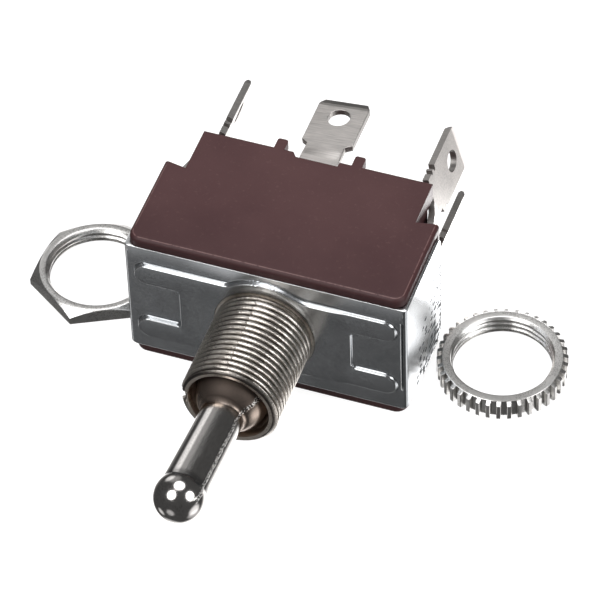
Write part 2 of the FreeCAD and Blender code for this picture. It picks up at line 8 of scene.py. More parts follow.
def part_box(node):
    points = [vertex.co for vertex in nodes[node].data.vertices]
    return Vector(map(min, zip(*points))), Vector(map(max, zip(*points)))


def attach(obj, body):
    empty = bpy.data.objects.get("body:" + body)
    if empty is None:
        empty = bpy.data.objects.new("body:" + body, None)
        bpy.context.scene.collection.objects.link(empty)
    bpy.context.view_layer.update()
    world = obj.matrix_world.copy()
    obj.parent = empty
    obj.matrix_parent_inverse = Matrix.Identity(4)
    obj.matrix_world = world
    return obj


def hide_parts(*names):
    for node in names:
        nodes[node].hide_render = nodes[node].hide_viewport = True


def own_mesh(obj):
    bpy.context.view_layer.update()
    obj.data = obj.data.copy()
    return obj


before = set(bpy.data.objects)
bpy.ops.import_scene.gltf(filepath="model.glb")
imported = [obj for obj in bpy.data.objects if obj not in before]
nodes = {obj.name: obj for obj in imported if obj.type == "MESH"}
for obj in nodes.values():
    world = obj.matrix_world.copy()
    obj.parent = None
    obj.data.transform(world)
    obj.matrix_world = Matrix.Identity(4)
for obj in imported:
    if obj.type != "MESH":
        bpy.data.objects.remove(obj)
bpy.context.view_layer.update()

scene = bpy.context.scene
mm = 0.001
bothRows = ("upper", "lower")
print("frame loaded", len(nodes), "nodes")


# meshes

meshing = dict(
    gridMerge=1.5e-6, cadMerge=2e-6, cadFlat=0.6, bevelSegments=2, bevelAngle=32, flatWeight=100,
)


def shadeSmooth(mesh, sharpAngle):
    mesh.polygons.foreach_set("use_smooth", np.ones(len(mesh.polygons), bool))
    mesh.set_sharp_from_angle(angle=math.radians(sharpAngle))


def gridPiece(name, points, closedRows=False, sharpAngle=34, fillHoles=False):
    # points is an array (rows, columns, 3) in mm; neighbours are joined by four-cornered faces.
    # The last column joins the first, and with closedRows the last row joins the first
    rows, columns = points.shape[:2]
    index = np.arange(rows * columns).reshape(rows, columns)
    if closedRows:
        index = np.vstack([index, index[:1]])
    index = np.hstack([index, index[:, :1]])
    faces = np.stack([index[:-1, :-1], index[1:, :-1], index[1:, 1:], index[:-1, 1:]], axis=-1)
    mesh = bpy.data.meshes.new(name)
    mesh.vertices.add(rows * columns)
    mesh.vertices.foreach_set("co", (points * mm).ravel())
    mesh.loops.add(faces.size)
    mesh.loops.foreach_set("vertex_index", faces.ravel())
    mesh.polygons.add(faces.size // 4)
    mesh.polygons.foreach_set("loop_start", np.arange(0, faces.size, 4))
    mesh.update(calc_edges=True)
    work = bmesh.new()
    work.from_mesh(mesh)
    bmesh.ops.remove_doubles(work, verts=work.verts, dist=meshing["gridMerge"])
    if fillHoles:
        rims = [edge for edge in work.edges if edge.is_boundary]
        bmesh.ops.holes_fill(work, edges=rims, sides=0)
    bmesh.ops.recalc_face_normals(work, faces=work.faces)
    work.to_mesh(mesh)
    work.free()
    shadeSmooth(mesh, sharpAngle)
    mesh.update()
    piece = bpy.data.objects.new(name, mesh)
    scene.collection.objects.link(piece)
    return piece


def standFor(piece, body, slot, material, *replaced):
    piece.data.materials.clear()
    piece.data.materials.append(material)
    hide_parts(*replaced)
    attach(piece, body)


def bakeModifiers(piece):
    # the modifiers' result becomes the piece's own mesh
    graph = bpy.context.evaluated_depsgraph_get()
    graph.update()
    result = bpy.data.meshes.new_from_object(piece.evaluated_get(graph))
    piece.modifiers.clear()
    piece.data = result


def softenedPiece(name, node, width):
    # a merged copy of a CAD node with every sharp edge rolled over by a small bevel
    mesh = nodes[node].data.copy()
    mesh.name = name
    work = bmesh.new()
    work.from_mesh(mesh)
    bmesh.ops.remove_doubles(work, verts=work.verts, dist=meshing["cadMerge"])
    bmesh.ops.dissolve_limit(work, angle_limit=math.radians(meshing["cadFlat"]),
                             verts=work.verts, edges=work.edges)
    work.to_mesh(mesh)
    work.free()
    piece = bpy.data.objects.new(name, mesh)
    scene.collection.objects.link(piece)
    bevel = piece.modifiers.new("rolledEdge", "BEVEL")
    bevel.width = width * mm
    bevel.segments = meshing["bevelSegments"]
    bevel.limit_method = "ANGLE"
    bevel.angle_limit = math.radians(meshing["bevelAngle"])
    bevel.use_clamp_overlap = True
    bevel.miter_outer = "MITER_ARC"
    weighted = piece.modifiers.new("flatFaces", "WEIGHTED_NORMAL")
    weighted.keep_sharp = True
    weighted.weight = meshing["flatWeight"]
    shadeSmooth(mesh, meshing["bevelAngle"])
    bakeModifiers(piece)
    return piece


# material nodes

def feed(source, target):
    target.id_data.links.new(source, target)


def place(kind, links=None, tree=None, **settings):
    # a node with its settings and its inputs, each a value or the output of another node; without
    # a tree it goes where those outputs are
    links = links or {}
    sources = [value for value in links.values() if isinstance(value, bpy.types.NodeSocket)]
    node = (tree or sources[0].id_data).nodes.new(kind)
    for key, value in settings.items():
        setattr(node, key, value)
    for label, value in links.items():
        if isinstance(value, bpy.types.NodeSocket):
            feed(value, node.inputs[label])
        else:
            node.inputs[label].default_value = value
    return node


def math2(operation, first, second=0.5):
    return place("ShaderNodeMath", {0: first, 1: second}, operation=operation).outputs[0]


def times(first, *others):
    for factor in others:
        first = math2("MULTIPLY", first, factor)
    return first


def plus(first, second):
    return math2("ADD", first, second)


def minus(first, second):
    return math2("SUBTRACT", first, second)


def greater(first, second):
    # the larger of two values
    return math2("MAXIMUM", first, second)


def absolute(value):
    return math2("ABSOLUTE", value)


def line(value, slope, start):
    # start + slope * value
    links = {0: value, 1: slope, 2: start}
    return place("ShaderNodeMath", links, operation="MULTIPLY_ADD").outputs[0]


def vector(operation, first, second=(0.0, 0.0, 0.0)):
    return place("ShaderNodeVectorMath", {0: first, 1: second}, operation=operation).outputs


def noise(where, scale, detail):
    links = {"Vector": where, "Scale": scale, "Detail": detail}
    return place("ShaderNodeTexNoise", links).outputs[0]


def ramp(source, *stops):
    # stops are two pairs of position and grey value
    node = place("ShaderNodeValToRGB", {"Fac": source})
    for element, (position, value) in zip(node.color_ramp.elements, stops):
        element.position = position
        element.color = (value, value, value, 1)
    return node.outputs["Color"]


def fade(value, span, unit=1.0):
    # 0 at the start of the span and 1 at its end, smoothly
    links = {"Value": value, "From Min": span[0] * unit, "From Max": span[1] * unit}
    return place("ShaderNodeMapRange", links, interpolation_type="SMOOTHSTEP").outputs[0]


def mixColours(factor, first, second, blend="MIX"):
    # a colour is three numbers or the output of another node
    first, second = (colour if isinstance(colour, bpy.types.NodeSocket) else (*colour, 1)
                     for colour in (first, second))
    links = {0: factor, 6: first, 7: second}
    return place("ShaderNodeMix", links, data_type="RGBA", blend_type=blend).outputs[2]


def tinted(colour, mask, tint):
    # a tint is its strength and its colour, and a dull one also has a roughness; tints serve stains
    # and painted light alike
    return mixColours(times(mask, tint[0]), colour, tint[1])


def dulled(colour, rough, mask, tint):
    return tinted(colour, mask, tint), greater(rough, times(mask, tint[2]))


def newGroup(name, outputs, **inputs):
    # inputs gives each label its value, and a vector without a value is None;
    # all outputs are plain numbers
    group = bpy.data.node_groups.new(name, "ShaderNodeTree")
    for label, value in inputs.items():
        kind = "NodeSocketFloat" if isinstance(value, float) else "NodeSocketVector"
        socket = group.interface.new_socket(label, in_out="INPUT", socket_type=kind)
        if value is not None:
            socket.default_value = value
    for label in outputs:
        group.interface.new_socket(label, in_out="OUTPUT", socket_type="NodeSocketFloat")
    given = group.nodes.new("NodeGroupInput").outputs
    result = group.nodes.new("NodeGroupOutput").inputs
    return group, given, result


patterns = dict(
    coarser=0.22, pitLevels=(0.30, 0.42), rubScale=700.0, rubShift=0.03, proud=0.51, sunk=0.49,
    broadScale=420.0, broadShare=0.25, patchScale=180.0, cloudLevels=(0.35, 0.65),
    toneLevels=(0.3, 0.7), bumpDistance=0.01,
)


def makeGrain():
    # fine moulded or cast skin: a fine noise, with pits where a coarser noise is low
    group, given, result = newGroup("fineGrain", ["Height"], Vector=None, Scale=900.0, Pits=0.3)
    fine = noise(given["Vector"], given["Scale"], 3.0)
    coarse = noise(given["Vector"], times(given["Scale"], patterns["coarser"]), 2.0)
    low, high = patterns["pitLevels"]
    pits = times(minus(1.0, ramp(coarse, (low, 0.0), (high, 1.0))), given["Pits"])
    feed(minus(fine, pits), result["Height"])
    return group


def makeEdgeRub():
    # one mask where an edge stands proud and one in a corner, both broken up by noise
    group, given, result = newGroup("edgeRub", ["Edge", "Corner"], Vector=None, Width=0.04)
    shape = place("ShaderNodeNewGeometry", tree=group).outputs["Pointiness"]
    uneven = minus(noise(given["Vector"], patterns["rubScale"], 3.0), 0.5)
    level = plus(shape, times(uneven, patterns["rubShift"]))
    proud, sunk, width = patterns["proud"], patterns["sunk"], given["Width"]
    for label, start, end in (("Edge", proud, plus(width, proud)),
                              ("Corner", sunk, minus(sunk, width))):
        links = {"Value": level, "From Min": start, "From Max": end}
        feed(place("ShaderNodeMapRange", links).outputs[0], result[label])
    return group


def makeBrushed():
    # noise drawn out along one axis: the scratches of a rolled or brushed strip
    group, given, result = newGroup("brushed", ["Height", "Tone"], Vector=None,
                                    Stretch=(1.0, 0.03, 1.0), Scale=2600.0)
    drawn = vector("MULTIPLY", given["Vector"], given["Stretch"])[0]
    scratches = noise(drawn, given["Scale"], 4.0)
    broad = noise(drawn, patterns["broadScale"], 2.0)
    share = patterns["broadShare"]
    feed(scratches, result["Height"])
    feed(plus(times(scratches, 1 - share), times(broad, share)), result["Tone"])
    return group


def makeSpeckle():
    # scattered small spots round the middles of a Voronoi pattern's cells, kept in patches
    group, given, result = newGroup("speckle", ["Mask"], Vector=None, Scale=1500.0, Size=0.2,
                                    Patch=0.5)
    links = {"Vector": given["Vector"], "Scale": given["Scale"]}
    cells = place("ShaderNodeTexVoronoi", links).outputs
    spot = math2("LESS_THAN", cells["Distance"], given["Size"])
    patches = noise(given["Vector"], patterns["patchScale"], 2.0)
    feed(times(spot, math2("GREATER_THAN", patches, given["Patch"])), result["Mask"])
    return group


grainGroup, rubGroup = makeGrain(), makeEdgeRub()
brushedGroup, speckleGroup = makeBrushed(), makeSpeckle()
print("node groups made", len(bpy.data.node_groups))


def placeGroup(group, where, **values):
    return place("ShaderNodeGroup", {"Vector": where, **values}, node_tree=group).outputs


def newMaterial(name):
    material = bpy.data.materials.new(name)
    material.use_nodes = True
    tree = material.node_tree
    where = place("ShaderNodeTexCoord", tree=tree).outputs["Object"]
    return material, tree.nodes["Principled BSDF"], where


def finishShader(shader, colour, rough, height, strength, distance):
    links = {"Height": height, "Strength": strength, "Distance": distance * mm}
    feed(place("ShaderNodeBump", links).outputs[0], shader.inputs["Normal"])
    feed(colour, shader.inputs["Base Color"])
    feed(rough, shader.inputs["Roughness"])


def axisParts(where):
    return place("ShaderNodeSeparateXYZ", {0: where}).outputs[:3]


def speckled(where, colour, specks):
    spots = placeGroup(speckleGroup, where, Scale=specks["scale"], Size=specks["size"],
                       Patch=specks["patch"])["Mask"]
    return mixColours(times(spots, specks["amount"]), colour, specks["colour"])


metalBase = dict(
    cloud=160.0, rubbed=True, edgeWidth=0.05, cornerDirt=0.6, edgeShine=0.5,
    dirt=(0.06, 0.055, 0.05), bright=(0.93, 0.92, 0.9), stretch=(1.0, 0.03, 1.0), brushScale=2600.0,
    streak=0.12, roughSpread=0.12, grainScale=1200.0, pits=0.2, brushDepth=0.15, grainDepth=0.12,
)


def metalMaterial(name, changes, marks=None):
    # plated or bare metal: tone varied by noise, darker corners and brighter rubbed edges;
    # marks is a function that lays the piece's own stains over colour, roughness and height
    look = {**metalBase, **changes}
    material, shader, where = newMaterial(name)
    shader.inputs["Metallic"].default_value = 1.0
    (low, high), (start, end) = patterns["cloudLevels"], patterns["toneLevels"]
    clear = ramp(noise(where, look["cloud"], 4.0), (low, 0.0), (high, 1.0))
    colour = mixColours(clear, look["dark"], look["light"])
    if look["rubbed"]:
        rub = placeGroup(rubGroup, where, Width=look["edgeWidth"])
        colour = mixColours(times(rub["Corner"], look["cornerDirt"]), colour, look["dirt"])
        colour = mixColours(times(rub["Edge"], look["edgeShine"]), colour, look["bright"])
    brush = placeGroup(brushedGroup, where, Stretch=look["stretch"], Scale=look["brushScale"])
    tone = ramp(brush["Tone"], (start, 1.0 - look["streak"]), (end, 1.0))
    colour = mixColours(1.0, colour, tone, "MULTIPLY")
    spread = look["roughSpread"]
    rough = line(brush["Tone"], spread, look["rough"] - 0.5 * spread)
    grain = placeGroup(grainGroup, where, Scale=look["grainScale"], Pits=look["pits"])
    height = plus(times(brush["Height"], look["brushDepth"]),
                  times(grain["Height"], look["grainDepth"]))
    if marks:
        colour, rough, height = marks(where, colour, rough, height, shader)
    finishShader(shader, colour, rough, height, 1.0, patterns["bumpDistance"])
    return material


# threaded bushing

bushing = dict(
    thread=5.92, depth=0.48, pitch=0.794, mouthY=-12.3, bore=4.62, mouthRim=5.47, flareWide=0.30,
    flareDeep=0.9, rimInner=0.1, rimOuter=0.02, rimRows=4, chamferSlope=1.05,
    # the rounded inner edge of the mouth, as steps from the mouth's Y and the flared radius
    mouthRoll=((0.08, -0.01), (0.02, 0.02), (0.0, 0.06)),
    # the neck behind the thread, as Y and radius
    neck=((-0.36, 5.66), (-0.3, 5.62), (-0.05, 5.62), (0.0, 5.7)), keyHalf=0.95, keyFloor=5.0,
    keyGap=0.004, keyColumns=6, collar=6.153, plateBack=1.35, flange=6.903, flangeBack=2.15,
    threadStart=0.03, threadEnd=-0.42, runOut=0.25, columns=230, perPitch=14, phase=0.10,
    crestNarrow=0.22, crestWide=0.52, rootFlat=0.10, wideHalf=1.2, wideFade=0.02,
    seamAt=93.0, seamLip=0.04, lipWidth=0.011, seamFine=(0.05, 15),
    # the seam wanders by these waves of size, rate and start, and drifts
    seamWaves=((0.012, 5.1, 0.0), (0.010, 11.7, 1.0)), seamDrift=0.004, driftFrom=-6,
    look=dict(
        dark=(0.82, 0.765, 0.70), light=(0.98, 0.93, 0.86), rough=0.30, stretch=(1.0, 1.0, 1.0),
        grainDepth=0.36, dirt=(0.10, 0.085, 0.075),
    ),
    # each span is a radius in mm, from where a mark starts to where it is full
    stainsAndPaintedLight=dict(
        specks=dict(scale=5200.0, size=0.40, patch=0.46, amount=0.50, colour=(0.22, 0.185, 0.16)),
        # root is painted shade in the thread's roots
        outside=(5.30, 5.42), inRootShade=(5.84, 5.56), root=(0.92, (0.06, 0.05, 0.045)),
        # rim is a warm painted light on the mouth's face and inside it
        rim=(0.20, (0.78, 0.62, 0.50)), inFlare=(4.96, 4.86), flare=(0.40, (0.48, 0.38, 0.31)),
        inBore=(4.70, 4.63), bore=(1.0, (0.40, 0.31, 0.25), 0.5), boreDull=0.75, glintScale=5800.0,
        glintDepth=4.2,
    ),
)


def bushingMarks(where, colour, rough, height, shader):
    # by distance from the axis: specks, painted shade in the thread's root, a warm painted light on
    # the rim, a brown flare and a dull brown bore, and a grainy height that makes the thread glint
    stainsAndPaintedLight = bushing["stainsAndPaintedLight"]
    flat = vector("MULTIPLY", where, (1.0, 0.0, 1.0))[0]
    radius = vector("LENGTH", flat)["Value"]
    inRootShade, outside, inFlare, inBore = (fade(radius, stainsAndPaintedLight[key], mm) for key in (
        "inRootShade", "outside", "inFlare", "inBore"))
    colour = speckled(where, colour, stainsAndPaintedLight["specks"])
    # painted shade in the thread's roots
    colour = tinted(colour, times(inRootShade, outside), stainsAndPaintedLight["root"])
    # warm painted light on the mouth's rim
    colour = tinted(colour, minus(1.0, outside), stainsAndPaintedLight["rim"])
    colour = tinted(colour, inFlare, stainsAndPaintedLight["flare"])
    colour, rough = dulled(colour, rough, inBore, stainsAndPaintedLight["bore"])
    feed(minus(1.0, times(inBore, stainsAndPaintedLight["boreDull"])), shader.inputs["Metallic"])
    glint = times(noise(where, stainsAndPaintedLight["glintScale"], 2.0), outside, stainsAndPaintedLight["glintDepth"])
    return colour, rough, plus(height, glint)


def portion(low, high, value):
    # 0 up to low and 1 past high, in a straight line between them
    return np.clip((value - low) / (high - low), 0.0, 1.0)


def smoothStep(low, high, value):
    share = portion(low, high, value)
    return share * share * (3.0 - 2.0 * share)


threadForm = dict(crown=0.10, leastCrest=0.01, flankPower=1.6)


def threadHeight(phase, crest, root):
    # 1 on the crest and 0 at the root, once per turn of the phase, with a crowned crest
    wave = np.abs(2.0 * (phase % 1.0) - 1.0)
    rise = portion(root, 1.0 - crest, wave)
    inCrest = portion(0.0, np.maximum(crest, threadForm["leastCrest"]), 1.0 - wave)
    crown = 1.0 - threadForm["crown"] * inCrest ** 2
    return np.minimum(1.0 - (1.0 - rise) ** threadForm["flankPower"], crown)


def bushingSurface(size):
    # a profile of radius against Y carried round the axis: bore, flared mouth, thread, neck, collar
    # and flange. On the thread the radius dips along a helix, under a chamfer at the mouth and with
    # a lip on its seam; the columns in the keyway hold their Z and stop at its flat floor
    mouth, pitch, seam = size["mouthY"], size["pitch"], math.radians(size["seamAt"])
    flared, end = size["bore"] + size["flareWide"], size["threadEnd"]
    (rollY, rollR), (neckY, neckR) = np.array(size["mouthRoll"]).T, np.array(size["neck"]).T
    yThread = np.linspace(mouth + size["threadStart"], end,
                          int((end - mouth) / pitch * size["perPitch"]))
    yFront = np.concatenate([[size["flangeBack"], 0.0, mouth + size["flareDeep"]],
                             mouth + rollY, np.full(size["rimRows"], mouth)])
    rFront = np.concatenate([[size["bore"]] * 3, flared + rollR, np.linspace(
        flared + size["rimInner"], size["mouthRim"] - size["rimOuter"], size["rimRows"])])
    yRear = np.concatenate([neckY, [0.0, size["plateBack"], size["plateBack"], size["flangeBack"]]])
    rRear = np.concatenate([neckR, [size["collar"]] * 2, [size["flange"]] * 2])
    rRows = np.concatenate([rFront, np.full(len(yThread), size["thread"]), rRear])[:, None]
    isThread = np.repeat([False, True, False], [len(yFront), len(yThread), len(yRear)])[:, None]
    keyHalf = size["keyHalf"]
    edge = math.pi - math.asin(keyHalf / size["thread"]) - size["keyGap"]
    fineHalf, fineCount = size["seamFine"]
    around = np.unique(np.concatenate([np.linspace(-edge, edge, size["columns"]),
                                       seam + np.linspace(-fineHalf, fineHalf, fineCount)]))
    keyZ = np.linspace(keyHalf, -keyHalf, size["keyColumns"])
    keyZ = np.concatenate([[keyHalf], keyZ, [-keyHalf]])
    theta = np.concatenate([around, np.full(len(keyZ), math.pi)])[None, :]
    zFixed = np.concatenate([np.zeros(len(around)), keyZ])[None, :]
    floor = np.full(theta.shape, np.inf)
    floor[0, len(around) + 1:-1] = size["keyFloor"]
    inKey = (np.arange(theta.shape[1]) >= len(around))[None, :]
    y = np.concatenate([yFront, yThread, yRear])[:, None] + 0 * theta
    phase = y / pitch + np.where(inKey, math.pi, theta) / (2 * math.pi) + size["phase"]
    swing = size["seamDrift"] * (y - size["driftFrom"])
    for sway, rate, start in size["seamWaves"]:
        swing = swing + sway * np.sin(rate * y + start)
    beyond = np.abs(theta - seam + size["wideHalf"]) - size["wideHalf"] - swing
    wide = smoothStep(size["wideFade"], -size["wideFade"], beyond)
    crest = size["crestNarrow"] + (size["crestWide"] - size["crestNarrow"]) * wide
    lip = size["seamLip"] * np.exp(-((theta - seam - swing) / size["lipWidth"]) ** 2)
    deep = size["depth"] * portion(end + size["runOut"], end - size["runOut"], y)
    wave = size["thread"] - deep * (1 - threadHeight(phase, crest, size["rootFlat"]))
    chamfer = size["mouthRim"] + size["chamferSlope"] * (y - mouth)
    r = np.where(isThread, np.minimum(wave + lip, chamfer), rRows)
    across = np.sqrt(np.maximum(r * r - zFixed ** 2, 0.01))
    across = np.where(y < -0.001, np.minimum(across, floor), across)
    x = np.where(inKey, -across, r * np.cos(theta))
    return np.stack([x, y, np.where(inKey, zFixed, r * np.sin(theta))], axis=-1)


bushingNickel = metalMaterial("bushingNickel", bushing["look"], bushingMarks)
bushingPiece = gridPiece("bushingThreaded", bushingSurface(bushing), closedRows=True, sharpAngle=40)
standFor(bushingPiece, "base", "bushing_plate", bushingNickel, "threaded_bushing")
print("bushing made", len(bushingPiece.data.polygons), "faces")


# lever

lever = dict(
    pivotY=-9.4, lean=-2.0, ball=4.43, domeHeight=4.7, domePower=2.6, domeTop=3.05, reach=17.18,
    knob=3.0, root=2.56, end=2.73, flare=0.7, flareSlope=1.2, stub=1.6, stubEnd=15.4, stubBevel=0.2,
    neckFillet=0.8, columns=112, earlyRows=6, early=(0.15, 0.9),
    rows=dict(dome=30, flare=14, shaft=26, fillet=8, knob=44),
    look=dict(
        dark=(0.62, 0.60, 0.59), light=(0.72, 0.70, 0.68), rough=0.14, roughSpread=0.06,
        stretch=(1.0, 0.2, 1.0), streak=0.08, brushDepth=0.05, grainDepth=0.15,
    ),
    # spans in mm from where a mark starts to where it is full; parting is in radians round the
    # shaft, and the chips' spans are levels of their noise
    stainsAndPaintedLight=dict(
        onDome=(6.6, 4.7), dome=(1.0, (0.42, 0.335, 0.28), 0.27),
        specks=dict(scale=5200.0, size=0.36, patch=0.47, amount=0.34, colour=(0.26, 0.25, 0.24)),
        # the painted shadow that the bushing's lip casts on the dome's upper side, darker and
        # rougher
        shadowY=(-14.5, -13.5), shadowZ=(0.6, 2.6), bushingShadow=(0.80, (0.045, 0.034, 0.030), 0.62),
        # neck is painted shade in the fillet under the knob
        neckBefore=1.15, inNeckShade=(0.9, 0.1), neck=(0.55, (0.12, 0.12, 0.12), 0.17), partingAt=0.52,
        parting=(0.110, 0.045), partingEnd=(18.8, 17.8), partingRough=0.55, wanderScale=900.0,
        wander=0.16, chipScale=5600.0, inDark=(0.50, 0.44), darkChip=(1.0, (0.04, 0.04, 0.04)),
        inLight=(0.53, 0.58), lightChip=(1.0, (1.0, 0.98, 0.95)), chipDepth=6.0,
    ),
)


def leverMarks(where, colour, rough, height, shader):
    # a dull brown dome round the pivot, specks, a painted shadow of the bushing on the dome's upper
    # side, painted shade on the neck under the knob, and the rough parting line along the shaft
    stainsAndPaintedLight = lever["stainsAndPaintedLight"]
    pivotY = lever["pivotY"] * mm
    reach = vector("DISTANCE", where, (0.0, pivotY, 0.0))["Value"]
    colour, rough = dulled(colour, rough, fade(reach, stainsAndPaintedLight["onDome"], mm), stainsAndPaintedLight["dome"])
    colour = speckled(where, colour, stainsAndPaintedLight["specks"])
    x, y, z = axisParts(where)
    # painted shadow of the bushing on the dome's upper side
    inBushingShadow = times(fade(y, stainsAndPaintedLight["shadowY"], mm), fade(z, stainsAndPaintedLight["shadowZ"], mm))
    colour, rough = dulled(colour, rough, inBushingShadow, stainsAndPaintedLight["bushingShadow"])
    # painted shade in the neck under the knob, which is also made rougher
    fromNeck = absolute(minus(reach, (lever["reach"] - stainsAndPaintedLight["neckBefore"]) * mm))
    inNeckShade = fade(fromNeck, stainsAndPaintedLight["inNeckShade"], mm)
    colour, rough = dulled(colour, rough, inNeckShade, stainsAndPaintedLight["neck"])
    middle = times(minus(y, pivotY), math.tan(math.radians(-lever["lean"])))
    turn = math2("ARCTAN2", z, minus(x, middle))
    wander = times(minus(noise(where, stainsAndPaintedLight["wanderScale"], 3.0), 0.5), stainsAndPaintedLight["wander"])
    away = absolute(minus(minus(turn, stainsAndPaintedLight["partingAt"]), wander))
    near = times(fade(away, stainsAndPaintedLight["parting"]), fade(reach, stainsAndPaintedLight["partingEnd"], mm))
    chips = noise(where, stainsAndPaintedLight["chipScale"], 1.5)
    for inChips, chip in (("inDark", "darkChip"), ("inLight", "lightChip")):
        colour = tinted(colour, times(near, fade(chips, stainsAndPaintedLight[inChips])), stainsAndPaintedLight[chip])
    rough = greater(rough, times(near, stainsAndPaintedLight["partingRough"]))
    return colour, rough, plus(height, times(near, chips, stainsAndPaintedLight["chipDepth"]))


def leverProfile(size):
    # radius against distance from the pivot: stub, cone, full dome, hollow flare, tapering shaft,
    # fillet, knob; the dome is a superellipse and the flare a cubic that leaves it and meets the
    # shaft on their own slopes
    ball, height, power, top = size["ball"], size["domeHeight"], size["domePower"], size["domeTop"]
    root, end, knob, reach = size["root"], size["end"], size["knob"], size["reach"]
    fillet, stub, stubEnd, bevel = (size[key] for key in (
        "neckFillet", "stub", "stubEnd", "stubBevel"))
    rows = size["rows"]
    domeR = ball - (ball - top) * np.linspace(0.0, 1.0, rows["dome"])[1:]
    domeH = height * (1 - (domeR / ball) ** power) ** (1 / power)
    early = np.linspace(*size["early"], size["earlyRows"]) * domeH[0]
    domeR = np.concatenate([[ball], ball * (1 - (early / height) ** power) ** (1 / power), domeR])
    domeH = np.concatenate([[0.0], early, domeH])
    slope = (domeH[-1] - domeH[-2]) / (domeR[-1] - domeR[-2])
    run, share = top - root, np.linspace(0, 1, rows["flare"])[1:]
    flareR = top - run * (1 - (1 - share) ** 2)
    flareH = domeH[-1] - slope * run * share * (1 - share) * size["flareSlope"] \
        + size["flare"] * share ** 2
    filletReach = math.sqrt((knob + fillet) ** 2 - (end + fillet) ** 2)
    knobAngle = math.atan2(-filletReach, end + fillet)
    onFillet = np.linspace(math.pi, math.pi + knobAngle, rows["fillet"])
    onKnob = np.linspace(knobAngle, math.pi / 2, rows["knob"])[1:-1]
    shaft = np.linspace(0.0, 1.0, rows["shaft"])[1:-1]
    shaftStart, shaftEnd = flareH[-1], reach - filletReach
    radius = np.concatenate([
        [0.0, stub - bevel, stub, stub], domeR, flareR, root + (end - root) * shaft,
        end + fillet + fillet * np.cos(onFillet), knob * np.cos(onKnob), [0.0]])
    along = np.concatenate([
        [-stubEnd, -stubEnd, bevel - stubEnd, stub - ball], domeH, flareH,
        shaftStart + (shaftEnd - shaftStart) * shaft, shaftEnd + fillet * np.sin(onFillet),
        reach + knob * np.sin(onKnob), [reach + knob]])
    return radius, along


def leaned(size, across, out):
    # X and Y of points across and out from the pivot, on the lever's leaning axis
    lean = math.radians(size["lean"])
    return (out * math.sin(lean) + across * math.cos(lean),
            size["pivotY"] - out * math.cos(lean) + across * math.sin(lean))


def leverSurface(size):
    # the profile turned round the lever's axis, which leans in the plane of X and Y
    radius, along = leverProfile(size)
    turn = np.linspace(0, 2 * math.pi, size["columns"], endpoint=False)
    z = radius[:, None] * np.sin(turn)
    x, y = leaned(size, radius[:, None] * np.cos(turn), along[:, None] + 0 * z)
    return np.stack([x, y, z], axis=-1)


leverPiece = gridPiece("leverTurned", leverSurface(lever))
leverNickel = metalMaterial("leverNickel", lever["look"], leverMarks)
standFor(leverPiece, "lever", "lever_plate", leverNickel, "toggle_lever")
print("lever made", len(leverPiece.data.polygons), "faces")


# mounting frame

plate = dict(
    halfLength=17.2, halfWidth=8.42, front=0.55, sheet=0.8, legEnd=12.95, bend=0.45, foot=1.0,
    edge=0.10, edgeBow=0.3, hole=6.2, holeSides=128, holeSpan=(-1.0, 3.0),
    bandHalf=6.07, fieldHalf=10.55, fingerFrom=9.0, fingerTip=14.45, fingerMiddle=4.5,
    fingerRadius=1.57, ring=7.52, wall=0.27, grow=0.10,
    joinLeft=0.3, joinRight=0.8, joinSpan=(-2, 2), notchCorner=0.55, notchSpan=(4.4, 3.6),
    notchLeast=0.002, pillow=0.075, pillowRun=0.7, rightDrop=0.30, dropSpan=(7.6, 10.6),
    lowCorner=0.45, cornerRun=0.5, cornerSpan=(4, 2), cornerPower=6, dish=0.20, dishSpan=(6.1, 8.4),
    dishMiddle=1, dishEnds=(4, 11), dishLoss=0.6, creaseX=16.62, creaseHalf=0.10, creaseLow=-5.1,
    creaseHigh=6.2, creaseDepth=0.2, creaseLip=0.09, lipAt=1.6, lipHalf=0.7,
    rows=dict(bend=9, leg=26, foot=12, back=26),
    # steps of the grid: from this place on, this wide
    along=((0, 0.08), (9, 0.16), (10.15, 0.045), (11.1, 0.22), (14.6, 0.06), (16.3, 0.035)),
    across=((0, 0.16), (2.3, 0.045), (3.3, 0.12), (5.55, 0.04), (6.5, 0.08), (8.0, 0.07)),
    look=dict(
        dark=(0.62, 0.645, 0.67), light=(0.76, 0.785, 0.815), rough=0.24, streak=0.1,
        brushDepth=0.04, grainDepth=0.07,
    ),
    # spans and places in mm, except inPit, which is a share of a pit's cell
    stainsAndPaintedLight=dict(
        # shade is painted shade toward the plate's right end
        shadeToRight=(-6, 10), shade=(0.16, (0.10, 0.10, 0.105)),
        specks=dict(scale=2600.0, size=0.22, patch=0.56, amount=0.30, colour=(0.22, 0.23, 0.25)),
        onLeg=(16.9, 17.1), pitSlope=0.79, pitFrom=6.0, pitGrowth=0.095, pitMost=0.80,
        pitScale=1750.0, pitStretch=0.55, pitRandom=0.85, inPit=(0.46, 0.38), pitSides=(-1, 1),
        pitStrength=(0.26, 0.88), pit=(1.0, (0.035, 0.04, 0.045), 0.95), pitDull=0.9, pitDepth=2.0,
        # a painted grey reflection low on the right leg, toward its rear
        reflectionBlobAt=(17.2, 9.5, -6.0), inReflectionBlob=(3.2, 1.2), reflectionBlob=(0.60, (0.16, 0.19, 0.21), 0.42),
    ),
)


